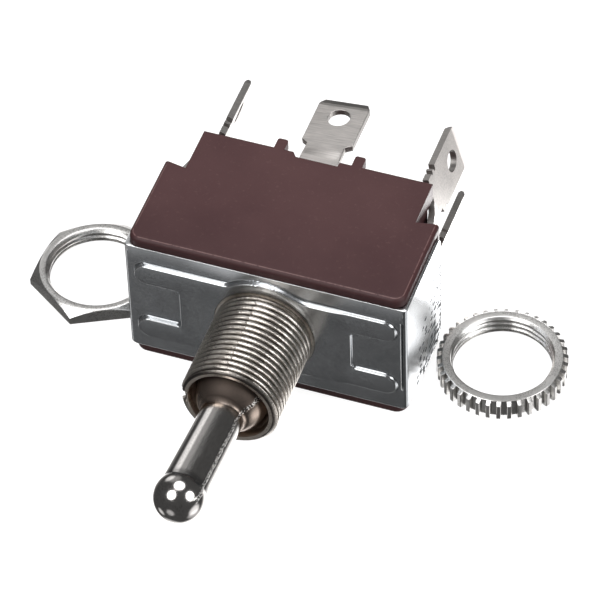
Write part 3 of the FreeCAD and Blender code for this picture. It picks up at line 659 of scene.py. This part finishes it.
def frameMarks(where, colour, rough, height, shader):
    # painted shade darkens the plate to its right end; a few specks; the legs are pitted, more to
    # the rear and to the bottom, darker on the right one, which also has a painted grey reflection
    stainsAndPaintedLight = plate["stainsAndPaintedLight"]
    x, y, z = axisParts(where)
    # painted shade toward the right end
    colour = tinted(colour, fade(x, stainsAndPaintedLight["shadeToRight"], mm), stainsAndPaintedLight["shade"])
    colour = speckled(where, colour, stainsAndPaintedLight["specks"])
    onLeg = fade(absolute(x), stainsAndPaintedLight["onLeg"], mm)
    beyond = minus(minus(y, times(z, stainsAndPaintedLight["pitSlope"])), stainsAndPaintedLight["pitFrom"] * mm)
    density = math2("MINIMUM", times(beyond, stainsAndPaintedLight["pitGrowth"] / mm), stainsAndPaintedLight["pitMost"])
    onWall = place("ShaderNodeCombineXYZ", {0: times(y, stainsAndPaintedLight["pitStretch"]), 1: z}).outputs[0]
    cells = place("ShaderNodeTexVoronoi", {
        "Vector": onWall, "Scale": stainsAndPaintedLight["pitScale"], "Randomness": stainsAndPaintedLight["pitRandom"],
    }, voronoi_dimensions="2D").outputs
    chance = place("ShaderNodeSeparateColor", {0: cells["Color"]}).outputs[0]
    pit = times(fade(cells["Distance"], stainsAndPaintedLight["inPit"]), math2("LESS_THAN", chance, density),
                onLeg)
    left, right = stainsAndPaintedLight["pitStrength"]
    dark = times(pit, line(fade(x, stainsAndPaintedLight["pitSides"], mm), right - left, left))
    # painted grey reflection on the right leg
    reflectionBlobAt = tuple(value * mm for value in stainsAndPaintedLight["reflectionBlobAt"])
    inReflectionBlob = fade(vector("DISTANCE", where, reflectionBlobAt)["Value"], stainsAndPaintedLight["inReflectionBlob"], mm)
    colour, rough = dulled(colour, rough, inReflectionBlob, stainsAndPaintedLight["reflectionBlob"])
    colour, rough = dulled(colour, rough, dark, stainsAndPaintedLight["pit"])
    feed(minus(1.0, times(dark, stainsAndPaintedLight["pitDull"])), shader.inputs["Metallic"])
    return colour, rough, minus(height, times(pit, stainsAndPaintedLight["pitDepth"]))


def softUnion(first, second, k):
    # the nearer of two outlines, with the hollow between them filled to about the size k
    gap = np.clip(0.5 + 0.5 * (second - first) / k, 0, 1)
    return second + (first - second) * gap - k * gap * (1 - gap)


def fieldRise(size, x, z):
    # 1 on the raised field and 0 round it, from the distance to its outline; the field's face falls
    # off softly toward the rim, and its right end is pressed a little less high
    ax, az = np.abs(x), np.abs(z)
    outX, outZ = ax - size["fieldHalf"], az - size["bandHalf"]
    band = np.hypot(np.maximum(outX, 0), np.maximum(outZ, 0)) \
        + np.minimum(np.maximum(outX, outZ), 0)
    alongX = ax - np.clip(ax, size["fingerFrom"], size["fingerTip"])
    finger = np.hypot(alongX, az - size["fingerMiddle"]) - size["fingerRadius"]
    notch = size["notchLeast"] + size["notchCorner"] * portion(*size["notchSpan"], az)
    join = size["joinLeft"] + (size["joinRight"] - size["joinLeft"]) * portion(*size["joinSpan"], x)
    distance = softUnion(np.hypot(x, z) - size["ring"], softUnion(band, finger, notch), join)
    rise = smoothStep(size["grow"], size["grow"] - size["wall"], distance)
    rise *= 1 - size["pillow"] * np.exp(-np.maximum(-distance, 0) / size["pillowRun"])
    return rise * (1 - size["rightDrop"] * smoothStep(*size["dropSpan"], x))


def gradedSteps(stretches, end):
    # even steps inside each stretch, which is its start and its step, up to the end
    ends = [start for start, step in stretches[1:]] + [end]
    parts = [np.linspace(a, b, max(2, int(round((b - a) / step)) + 1))[:-1]
             for (a, step), b in zip(stretches, ends)]
    return np.concatenate(parts + [[end]])


def mirrored(values, sign=-1):
    # values that start in the middle, carried to the other side of it
    return np.concatenate([sign * values[:0:-1], values])


def frameSurface(size):
    # the sheet's cross-section, a closed loop, carried along the U from foot to foot; the outer
    # face of the plate is then lifted by the field, the dished upper margin and the crease
    half, width, front, sheet = (size[key] for key in ("halfLength", "halfWidth", "front", "sheet"))
    bend, foot, edge, bow, rows = (size[key] for key in ("bend", "foot", "edge", "edgeBow", "rows"))
    flat, footStart = half - bend, size["legEnd"] - foot
    xs = gradedSteps(size["along"], flat)
    turn = np.linspace(0, math.pi / 2, rows["bend"])[1:]
    footTurn = np.linspace(0, math.pi / 2, rows["foot"])[1:]
    legY = np.concatenate([np.linspace(front + bend, footStart, rows["leg"])[1:],
                           footStart + foot * np.sin(footTurn)])
    y = np.concatenate([np.full(len(xs), front), front + bend - bend * np.cos(turn), legY])
    into = np.maximum(y - footStart, 0)
    halfZ = mirrored(width - foot + np.sqrt(np.maximum(foot ** 2 - into ** 2, 0)), 1)
    x = mirrored(np.concatenate([xs, flat + bend * np.sin(turn), np.full(len(legY), half)]))
    nx = mirrored(np.concatenate([0 * xs, np.sin(turn), np.ones(len(legY))]))
    ny = mirrored(np.concatenate([-np.ones(len(xs)), -np.cos(turn), 0 * legY]), 1)
    y = mirrored(y, 1)
    face = mirrored(gradedSteps(size["across"], width - edge))[1:-1] / width
    e = edge / width
    back = np.linspace(1, -1, rows["back"])[1:-1] * (1 - e)
    rounded = np.array([1 - e, 1 - bow * e, 1, 1, 1 - bow * e, 1 - e])
    inward = np.array([0, bow * edge, edge, sheet - edge, sheet - bow * edge, sheet])
    zNorm = np.concatenate([-rounded[:1], face, rounded, back, -rounded[:0:-1]])
    depth = np.concatenate([[0], 0 * face, inward, sheet + 0 * back, inward[:0:-1]])
    z = zNorm[None, :] * halfZ[:, None]
    nearFold = portion(flat - size["cornerRun"], half, np.abs(x)) ** 2 \
        * portion(*size["cornerSpan"], y)
    z += size["lowCorner"] * nearFold[:, None] * np.clip(-zNorm, 0, 1) ** size["cornerPower"]
    share = depth[None, :] / sheet + 0 * z
    outX, outY = x[:, None] + 0 * z, y[:, None] + 0 * z
    inX = np.clip(outX, sheet - half, half - sheet)
    inY = np.maximum(outY, front + sheet)
    onFace = share < 0.02
    onPlate = (np.abs(outX) < flat) & onFace
    lift = np.where(onPlate, front * fieldRise(size, outX, z), 0)
    ends = portion(*size["dishEnds"], np.abs(outX - size["dishMiddle"]))
    dish = size["dish"] * (1 - size["dishLoss"] * ends) * portion(*size["dishSpan"], z) ** 2
    lift -= np.where(onPlate, dish * np.clip(1 - lift / size["dish"], 0, 1), 0)
    fromCrease = np.abs(outX - size["creaseX"]) / size["creaseHalf"]
    onCrease = (z > size["creaseLow"]) & (z < size["creaseHigh"]) & onFace
    lift -= onCrease * size["creaseDepth"] * np.clip(1 - fromCrease, 0, 1)
    fromLip = np.abs(fromCrease - size["lipAt"]) / size["lipHalf"]
    lift += onCrease * size["creaseLip"] * np.clip(1 - fromLip, 0, 1)
    px = outX + (inX - outX) * share + lift * nx[:, None]
    py = outY + (inY - outY) * share + lift * ny[:, None]
    return np.stack([px, py, z], axis=-1)


def cutRound(piece, radius, sides, y0, y1):
    # a hole along Y at the origin, cut with a many-sided bar
    turn = np.linspace(0, 2 * math.pi, sides, endpoint=False)
    x, z = radius * np.cos(turn), radius * np.sin(turn)
    ends = np.stack([np.stack([x, np.full(sides, y), z], -1) for y in (y0, y1)])
    bar = gridPiece("holeBar", ends, fillHoles=True)
    cut = piece.modifiers.new("hole", "BOOLEAN")
    cut.operation = "DIFFERENCE"
    cut.solver = "EXACT"
    cut.object = bar
    bakeModifiers(piece)
    bpy.data.objects.remove(bar)


framePiece = gridPiece("framePressed", frameSurface(plate), sharpAngle=30, fillHoles=True)
cutRound(framePiece, plate["hole"], plate["holeSides"], *plate["holeSpan"])
shadeSmooth(framePiece.data, sharpAngle=36)
frameSteel = metalMaterial("frameSteel", plate["look"], frameMarks)
standFor(framePiece, "base", "frame_steel", frameSteel, "mounting_frame")
print("frame made", len(framePiece.data.polygons), "faces")


# loose nuts

floorZ = -9.75
hexNut = dict(
    flats=14.29, thick=1.9, corner=1.0, centre=(-25.04, 10.20), turn=86.2, land=7.05, bore=5.88,
    lead=0.36, perSide=30, boreRows=34, boreStart=0.25, coneRows=14, sideRows=5, edgeRoll=0.05,
    # rounded corners, as steps of radius and height from where they are
    boreLip=((0.02, -0.03), (0.12, 0.0)), landLip=((-0.06, 0.0), (0.0, -0.02)), footTop=0.1,
    footRoll=((-0.03, 0.03), (-0.1, 0.0)), footLead=((0.3, 0.0), (0.0, 0.2)),
)
ringNut = dict(
    outer=7.72, root=7.12, thick=2.5, teeth=38, toothHalf=0.27, bevel=0.26, toothNick=0.07,
    centre=(25.40, 11.05), bore=5.88, lead=0.26, boreRows=38, boreStart=0.3,
    boreLip=((0.0, -0.04), (0.05, -0.01), (0.12, 0.0)),
    landLip=((-0.12, 0.0), (-0.07, 0.0), (-0.06, 0.0), (-0.01, -0.03)),
    slopeDrop=0.04, slopeShares=(0.0, 0.04, 0.5, 0.96, 1.0), tipDrop=0.08,
    tipRoll=((0.0, 1.0), (0.0, 0.12), (-0.08, 0.0)), footLead=((0.35, 0.0), (0.0, 0.25)),
)
nutThread = dict(depth=0.26, pitch=0.794, crest=0.2, root=0.2)
nutLook = dict(
    dark=(0.80, 0.79, 0.77), light=(0.97, 0.96, 0.94), rough=0.30, stretch=(1.0, 1.0, 1.0),
    grainDepth=0.22,
)
nutSpecks = dict(scale=5600.0, size=0.40, patch=0.46, amount=0.42, colour=(0.25, 0.24, 0.23))


def nutMarks(where, colour, rough, height, shader):
    # small dark specks in the plating
    return speckled(where, colour, nutSpecks), rough, height


def nutBore(size, turn):
    # rows of radius and height up the threaded bore; the radius grows along a helix
    z = np.linspace(size["boreStart"], size["thick"] - size["lead"], size["boreRows"])[:, None]
    phase = z / nutThread["pitch"] - turn / (2 * math.pi)
    height = threadHeight(phase, nutThread["crest"], nutThread["root"])
    return size["bore"] + nutThread["depth"] * height, z + 0 * turn


def rolled(radius, height, steps):
    return [(radius + outward, height + up) for outward, up in steps]


def stackRings(rings, turn):
    # a ring is a radius and a height, or rows of them; each becomes as long as the turn
    return (np.concatenate([part + 0 * turn for part in parts]) for parts in zip(*rings))


def nutPoints(size, r, z, angle):
    x = size["centre"][0] + r * np.cos(angle)
    y = size["centre"][1] + r * np.sin(angle)
    return np.stack([x, y, floorZ + z], axis=-1)


def hexSurface(size):
    # rings of radius and height round the bore; past the land the radius runs out to the hexagon
    # down a cone
    start = math.radians(size["turn"])
    sixth = np.linspace(0, math.pi / 3, size["perSide"], endpoint=False)
    turn = np.concatenate([start + math.radians(60 * side) + sixth for side in range(6)])[None, :]
    hexR = size["flats"] / 2 / np.cos((turn - start) % (math.pi / 3) - math.pi / 6)
    thick, bore, land, roll = (size[key] for key in ("thick", "bore", "land", "edgeRoll"))
    slope = (thick - size["corner"]) / (size["flats"] / math.sqrt(3) - land)
    coneTop = thick + size["landLip"][-1][1]
    cone = land + np.linspace(0, 1, size["coneRows"])[1:, None] * (hexR - roll - land)
    down = np.linspace(0, 1, size["sideRows"])[:, None]
    sideTop = coneTop - slope * (hexR - land) - roll
    rings = [
        nutBore(size, turn), *rolled(bore + size["lead"], thick, size["boreLip"]),
        *rolled(land, thick, size["landLip"]), (cone, coneTop - slope * (cone - land)),
        (hexR + 0 * down, sideTop * (1 - down) + size["footTop"] * down),
        *rolled(hexR, 0, size["footRoll"]), *rolled(bore, 0, size["footLead"])]
    r, z = stackRings(rings, turn)
    return nutPoints(size, r, z, turn)


def ringSurface(size):
    # the same rings over one tooth and its gap, repeated round the nut. Flank columns keep their
    # distance from the tooth's middle, so the flanks stay parallel; next to the tip they step in by
    # the nick, which bevels the tooth's upright edges. The teeth's tops slope down from the land
    pitchAngle = 2 * math.pi / size["teeth"]
    # a row for each column: offset in pitches, side of the flank, inset and cut in nicks, and
    # whether it is on the tooth
    columns = np.array([
        (-0.5, 0, 0, 0, 0), (-0.40, 0, 0, 0, 0), (-0.31, 0, 0, 0, 0), (0, -1, 0, 0, 0),
        (0, -1, 0, 1, 1), (0, -1, 1, 0, 1), (-0.08, 0, 0, 0, 1), (0, 0, 0, 0, 1),
        (0.08, 0, 0, 0, 1), (0, 1, 1, 0, 1), (0, 1, 0, 1, 1), (0, 1, 0, 0, 0),
        (0.31, 0, 0, 0, 0), (0.40, 0, 0, 0, 0)])
    middle = np.repeat(np.arange(size["teeth"]) * pitchAngle, len(columns))[None, :]
    offset, flank, inset, cut, onTooth = np.tile(columns.T, size["teeth"])[:, None, :]
    offset, inset, cut = offset * pitchAngle, inset * size["toothNick"], cut * size["toothNick"]
    thick, bore, root, bevel = size["thick"], size["bore"], size["root"], size["bevel"]
    tip = np.where(onTooth, size["outer"] - cut, root)
    rings = [
        nutBore(size, middle + offset), *rolled(bore + size["lead"], thick, size["boreLip"]),
        *rolled(root, thick, size["landLip"]),
        *((root + share * (tip - root), thick - size["slopeDrop"] - share * bevel)
          for share in size["slopeShares"]),
        (tip, thick - size["tipDrop"] - bevel), *rolled(tip, 0, size["tipRoll"]),
        *rolled(bore, 0, size["footLead"])]
    r, z = stackRings(rings, middle)
    onFlank = np.arcsin(np.clip((size["toothHalf"] - inset) / r, 0, 1))
    return nutPoints(size, r, z, middle + np.where(flank == 0, offset, flank * onFlank))


nutNickel = metalMaterial("nutNickel", nutLook, nutMarks)
nutFaces = 0
for name, points, node in (("hexNutPlated", hexSurface(hexNut), "hex_nut"),
                           ("ringNutToothed", ringSurface(ringNut), "ring_nut")):
    nut = gridPiece(name, points, closedRows=True, sharpAngle=28)
    standFor(nut, "base", "nut_plate", nutNickel, node)
    nutFaces += len(nut.data.polygons)
print("nuts made", nutFaces, "faces")


# case and terminals

block = dict(
    edgeRoll=0.09,
    look=dict(
        dark=(0.078, 0.034, 0.036), light=(0.100, 0.046, 0.047), fleck=(0.15, 0.08, 0.077),
        specular=0.30, rough=0.46, grainDepth=0.012,
    ),
    # spans and places in mm; breaks are levels of a noise
    stainsAndPaintedLight=dict(
        # rim and its places give a painted highlight line along the edges of the broad faces
        toFront=(10, 1), front=(0.30, (0.040, 0.016, 0.018)), rimX=15.35, rimY=2.15, rimRadius=1.10,
        rimFace=9.6, onHighlightLine=(0.08, 0.03), breakScale=1900.0, breaks=(0.30, 0.55),
        rim=(0.7, (0.25, 0.145, 0.14)),
    ),
)
moulding = dict(
    broadScale=95.0, broadDetail=5.0, broadRough=0.6, fleckScale=2400.0,
    fleckLevels=((0.62, 0.0), (0.75, 0.35)), grainScale=1500.0, pits=0.5, roughSpread=0.06,
    bump=0.5,
)
tab = dict(
    edgeRoll=0.06, bevelLength=1.15, onCut=(0.62, 0.42), cut=(0.55, (0.13, 0.125, 0.12)),
    look=dict(
        dark=(0.74, 0.705, 0.68), light=(0.88, 0.84, 0.81), rough=0.42, streak=0.30,
        stretch=(0.03, 1.0, 1.0), brushScale=5600.0, brushDepth=0.35, grainDepth=0.14, rubbed=False,
    ),
)


def plasticMaterial(name, look, marks=None):
    # moulded phenolic: two close tones, light flecks and a fine matte skin
    material, shader, where = newMaterial(name)
    shader.inputs["Specular IOR Level"].default_value = look["specular"]
    start, end = patterns["toneLevels"]
    broad = place("ShaderNodeTexNoise", {
        "Vector": where, "Scale": moulding["broadScale"], "Detail": moulding["broadDetail"],
        "Roughness": moulding["broadRough"]}).outputs[0]
    fleck = noise(where, moulding["fleckScale"], 2.0)
    colour = mixColours(ramp(broad, (start, 0.0), (end, 1.0)), look["dark"], look["light"])
    colour = mixColours(ramp(fleck, *moulding["fleckLevels"]), colour, look["fleck"])
    if marks:
        colour = marks(where, colour)
    grain = placeGroup(grainGroup, where, Scale=moulding["grainScale"],
                       Pits=moulding["pits"])
    middle, spread = look["rough"], moulding["roughSpread"]
    rough = ramp(broad, (start, middle - spread), (end, middle + spread))
    finishShader(shader, colour, rough, grain["Height"], moulding["bump"], look["grainDepth"])
    return material


def caseMarks(where, colour):
    # the moulding grows darker toward the frame, and a painted highlight line follows the rim of
    # its
    # broad faces: the distance to a rectangle with rounded corners, close to zero
    stainsAndPaintedLight = block["stainsAndPaintedLight"]
    x, y, z = axisParts(where)
    colour = tinted(colour, fade(y, stainsAndPaintedLight["toFront"], mm), stainsAndPaintedLight["front"])
    beyond = place("ShaderNodeCombineXYZ", {
        0: greater(minus(absolute(x), stainsAndPaintedLight["rimX"] * mm), 0.0),
        1: greater(minus(stainsAndPaintedLight["rimY"] * mm, y), 0.0)}).outputs[0]
    away = absolute(minus(vector("LENGTH", beyond)["Value"], stainsAndPaintedLight["rimRadius"] * mm))
    broken = fade(noise(where, stainsAndPaintedLight["breakScale"], 3.0), stainsAndPaintedLight["breaks"])
    onFace = math2("GREATER_THAN", absolute(z), stainsAndPaintedLight["rimFace"] * mm)
    # the painted highlight line, broken up by noise
    return tinted(colour, times(fade(away, stainsAndPaintedLight["onHighlightLine"], mm), broken, onFace), stainsAndPaintedLight["rim"])


def cutEdgeMarks(flatAxis, tipY):
    # the sheared edges and the bevelled tip of a tab are darker than its rolled faces
    def marks(where, colour, rough, height, shader):
        facing = place("ShaderNodeNewGeometry", tree=where.id_data).outputs["True Normal"]
        aligned = absolute(vector("DOT_PRODUCT", facing, flatAxis)["Value"])
        onTip = math2("GREATER_THAN", axisParts(where)[1], tipY)
        colour = tinted(colour, greater(fade(aligned, tab["onCut"]), onTip), tab["cut"])
        return colour, rough, height
    return marks


casePlastic = plasticMaterial("casePhenolic", block["look"], caseMarks)
casePiece = softenedPiece("caseMoulded", "case", block["edgeRoll"])
standFor(casePiece, "base", "case_moulding", casePlastic, "case")
for row in bothRows:
    for column in ("left", "centre", "right"):
        node = "terminal_" + column + "_" + row
        name = "tab" + column.capitalize() + row.capitalize()
        flatAxis, bevelled = (1.0, 0.0, 0.0), 0.0
        if column == "centre":
            flatAxis, bevelled = (0.0, 0.0, 1.0), tab["bevelLength"] * mm
        tipY = max(corner[1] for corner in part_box(node)) - bevelled
        finish = metalMaterial(name + "Metal", tab["look"], cutEdgeMarks(flatAxis, tipY))
        standFor(softenedPiece(name, node, tab["edgeRoll"]), "base", "tab_metal", finish, node)
print("case and tabs made")


# plunger springs

coil = dict(
    radius=0.66, wire=0.11, turns=3, rest=0.13, stroke=0.9, along=150, round=12, tip=0.7,
    look=dict(dark=(0.40, 0.39, 0.38), light=(0.55, 0.54, 0.53), rough=0.3, rubbed=False),
)


def coilSurface(size, low, high, level):
    # a round wire along a helix: the helix turns as the height grows, and the wire's radius
    # closes to nothing at both ends
    steps, tip = size["along"], size["tip"]
    share = np.concatenate([[0.0, 0.0], np.linspace(0, 1, steps), [1.0, 1.0]])[:, None]
    wire = size["wire"] * np.concatenate([[0.0, tip], np.ones(steps), [tip, 0.0]])[:, None]
    turn = 2 * math.pi * size["turns"] * share
    around = np.linspace(0, 2 * math.pi, size["round"], endpoint=False)[None, :]
    reach = size["radius"] + wire * np.cos(around)
    out = lever["pivotY"] - (low + (high - low) * share + wire * np.sin(around))
    x, y = leaned(lever, reach * np.cos(turn), out)
    return np.stack([x, y, level + reach * np.sin(turn)], axis=-1)


springSteel = metalMaterial("springSteel", coil["look"])
for row in bothRows:
    low, high = (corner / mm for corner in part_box("spring_" + row))
    level = (low[2] + high[2]) / 2
    wound = coilSurface(coil, low[1] + coil["rest"], high[1] - coil["rest"], level)
    spring = gridPiece("coil" + row.capitalize(), wound)
    standFor(spring, "lever", "spring_steel", springSteel, "spring_" + row)
    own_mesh(spring)
print("springs made")


# the other pieces inside keep their CAD shape

inside = dict(
    pinSteel=dict(dark=(0.45, 0.45, 0.45), light=(0.6, 0.6, 0.6), rough=0.3, rubbed=False),
    rockerBrass=dict(dark=(0.62, 0.45, 0.22), light=(0.78, 0.60, 0.32), rough=0.32, rubbed=False),
    contactSilver=dict(dark=(0.75, 0.74, 0.72), light=(0.88, 0.87, 0.85), rough=0.28, rubbed=False),
)
barLook = dict(
    dark=(0.03, 0.03, 0.032), light=(0.05, 0.05, 0.052), fleck=(0.1, 0.1, 0.1), specular=0.4,
    rough=0.5, grainDepth=0.012,
)
finishes = {name: metalMaterial(name, look) for name, look in inside.items()}
finishes["barMoulding"] = plasticMaterial("barMoulding", barLook)

finishOf = {"pivot_pin": "pinSteel", "actuator_bar": "barMoulding"}
for row in bothRows:
    finishOf["plunger_" + row] = "barMoulding"
    finishOf["rocker_" + row] = "rockerBrass"
    for column in ("left", "right"):
        finishOf["fixed_contact_" + column + "_" + row] = "contactSilver"
        finishOf["moving_contact_" + column + "_" + row] = "contactSilver"
for node, name in finishOf.items():
    holder = nodes[node]
    if not holder.data.materials:
        holder.data.materials.append(finishes[name])
    for slot in holder.material_slots:
        slot.material = finishes[name]
print("inner pieces finished", len(finishOf))


# studio

studio = dict(
    camera=(130.285, -327.235, 389.413), right=(0.94297, 0.33187, -0.02603),
    forward=(-0.24230, 0.63063, -0.73729), lens=272.53, sensor=36, clip=(0.01, 10),
    # lamps: name, direction from the switch, diameter, power
    lights=(("lightOverhead", (-0.03, 0.15, 0.98), 380, 1.05),
        ("lightRight", (0.838, -0.149, 0.527), 330, 0.95),
        ("lightLeft", (-0.347, -0.603, 0.717), 330, 0.95)),
    lightDistance=480, lightAim=(0, 5, 0),
    # what polished metal sees of the room: direction, full and fading half angle, brightness
    lobes=[
        ((0.03, 0.63, -0.775), 8, 47, 2.15), ((-0.55, 0.63, -0.55), 8, 28, 0.20),
        ((-0.673, 0.63, 0.386), 4, 17, 1.0), ((-0.45, 0.63, 0.63), 5, 24, 0.35),
        ((0.838, -0.149, -0.527), 10, 24, 1.2), ((-0.24, -0.86, -0.46), 5, 17, 0.6),
        ((-0.64, -0.35, -0.69), 5, 12, 0.9), ((-0.24, -0.05, -0.97), 5, 16, 0.6),
        ((0.65, -0.10, -0.74), 8, 22, 0.6), ((-0.24, -0.28, 0.93), 3, 11, 0.8),
    ],
    spotAt=(20.5, 29.0, -9.6), spotDiameter=20, spotPower=0.004, room=0.075,
    roomColour=(1.0, 0.99, 0.985, 1), floorSide=3000, floorGap=0.01, floorGlow=0.90, floorTone=0.4,
)


def lookFrom(right, forward):
    right, forward = Vector(right).normalized(), Vector(forward).normalized()
    right = (right - forward * right.dot(forward)).normalized()
    up = right.cross(forward)
    return Matrix((right, up, -forward)).transposed()


def addLamp(name, diameter, power, at, rotation):
    lamp = bpy.data.lights.new(name, "AREA")
    lamp.shape = "DISK"
    lamp.size = diameter * mm
    lamp.energy = power
    holder = bpy.data.objects.new(name, lamp)
    scene.collection.objects.link(holder)
    holder.location = Vector(at) * mm
    holder.rotation_euler = rotation
    return holder


cameraData = bpy.data.cameras.new("view")
cameraData.lens = studio["lens"]
cameraData.sensor_width = studio["sensor"]
cameraData.sensor_fit = "HORIZONTAL"
cameraData.clip_start, cameraData.clip_end = studio["clip"]
camera = bpy.data.objects.new("view", cameraData)
scene.collection.objects.link(camera)
turned = lookFrom(studio["right"], studio["forward"]).to_4x4()
camera.matrix_world = Matrix.Translation(Vector(studio["camera"]) * mm) @ turned
scene.camera = camera

for name, source, diameter, power in studio["lights"]:
    direction = Vector(source).normalized()
    addLamp(name, diameter, power, direction * studio["lightDistance"] + Vector(studio["lightAim"]),
            direction.to_track_quat("Z", "Y").to_euler())

# a bright spot on the floor behind the right end, which the end wall and the tabs mirror
spot = addLamp("floorSpot", studio["spotDiameter"], studio["spotPower"], studio["spotAt"],
               (math.pi, 0, 0))
spot.visible_camera = False

world = bpy.data.worlds.new("room")
scene.world = world
world.use_nodes = True
tree = world.node_tree
tree.nodes.clear()
toward = place("ShaderNodeTexCoord", tree=tree).outputs["Generated"]
brightness = studio["room"]
for axis, full, fading, level in studio["lobes"]:
    along = vector("DOT_PRODUCT", toward, Vector(axis).normalized())["Value"]
    lobe = place("ShaderNodeMapRange", {
        "Value": along, "From Min": math.cos(math.radians(fading)),
        "From Max": math.cos(math.radians(full)), "To Max": level}, interpolation_type="SMOOTHSTEP")
    brightness = plus(lobe.outputs[0], brightness)
room = place("ShaderNodeBackground", {"Color": studio["roomColour"], "Strength": brightness})
seen = place("ShaderNodeBackground", {"Color": (1, 1, 1, 1), "Strength": 1.0}, tree)
mixed = place("ShaderNodeMixShader", {
    0: place("ShaderNodeLightPath", tree=tree).outputs["Is Camera Ray"], 1: room.outputs[0],
    2: seen.outputs[0]})
place("ShaderNodeOutputWorld", {"Surface": mixed.outputs[0]})

# the floor is seen by the camera alone: nearly white, with soft shadows
floorMaterial = bpy.data.materials.new("paleFloor")
floorMaterial.use_nodes = True
tree = floorMaterial.node_tree
tree.nodes.clear()
tone = studio["floorTone"]
white = place("ShaderNodeEmission", {"Color": (1, 1, 1, 1), "Strength": studio["floorGlow"]}, tree)
shade = place("ShaderNodeBsdfDiffuse", {"Color": (tone, tone, tone, 1)}, tree)
cameraSees = place("ShaderNodeAddShader", {0: white.outputs[0], 1: shade.outputs[0]})
place("ShaderNodeOutputMaterial", {"Surface": cameraSees.outputs[0]})
side, level = studio["floorSide"] / 2 * mm, (floorZ - studio["floorGap"]) * mm
corners = [(x * side, y * side, level) for x, y in ((-1, -1), (1, -1), (1, 1), (-1, 1))]
floorMesh = bpy.data.meshes.new("floor")
floorMesh.from_pydata(corners, [], [(0, 1, 2, 3)])
floorMesh.materials.append(floorMaterial)
floor = bpy.data.objects.new("floor", floorMesh)
scene.collection.objects.link(floor)
for ray in ("diffuse", "glossy", "transmission", "shadow"):
    setattr(floor, "visible_" + ray, False)
scene.view_settings.view_transform = "Standard"
scene.view_settings.look = "None"
print("studio set")
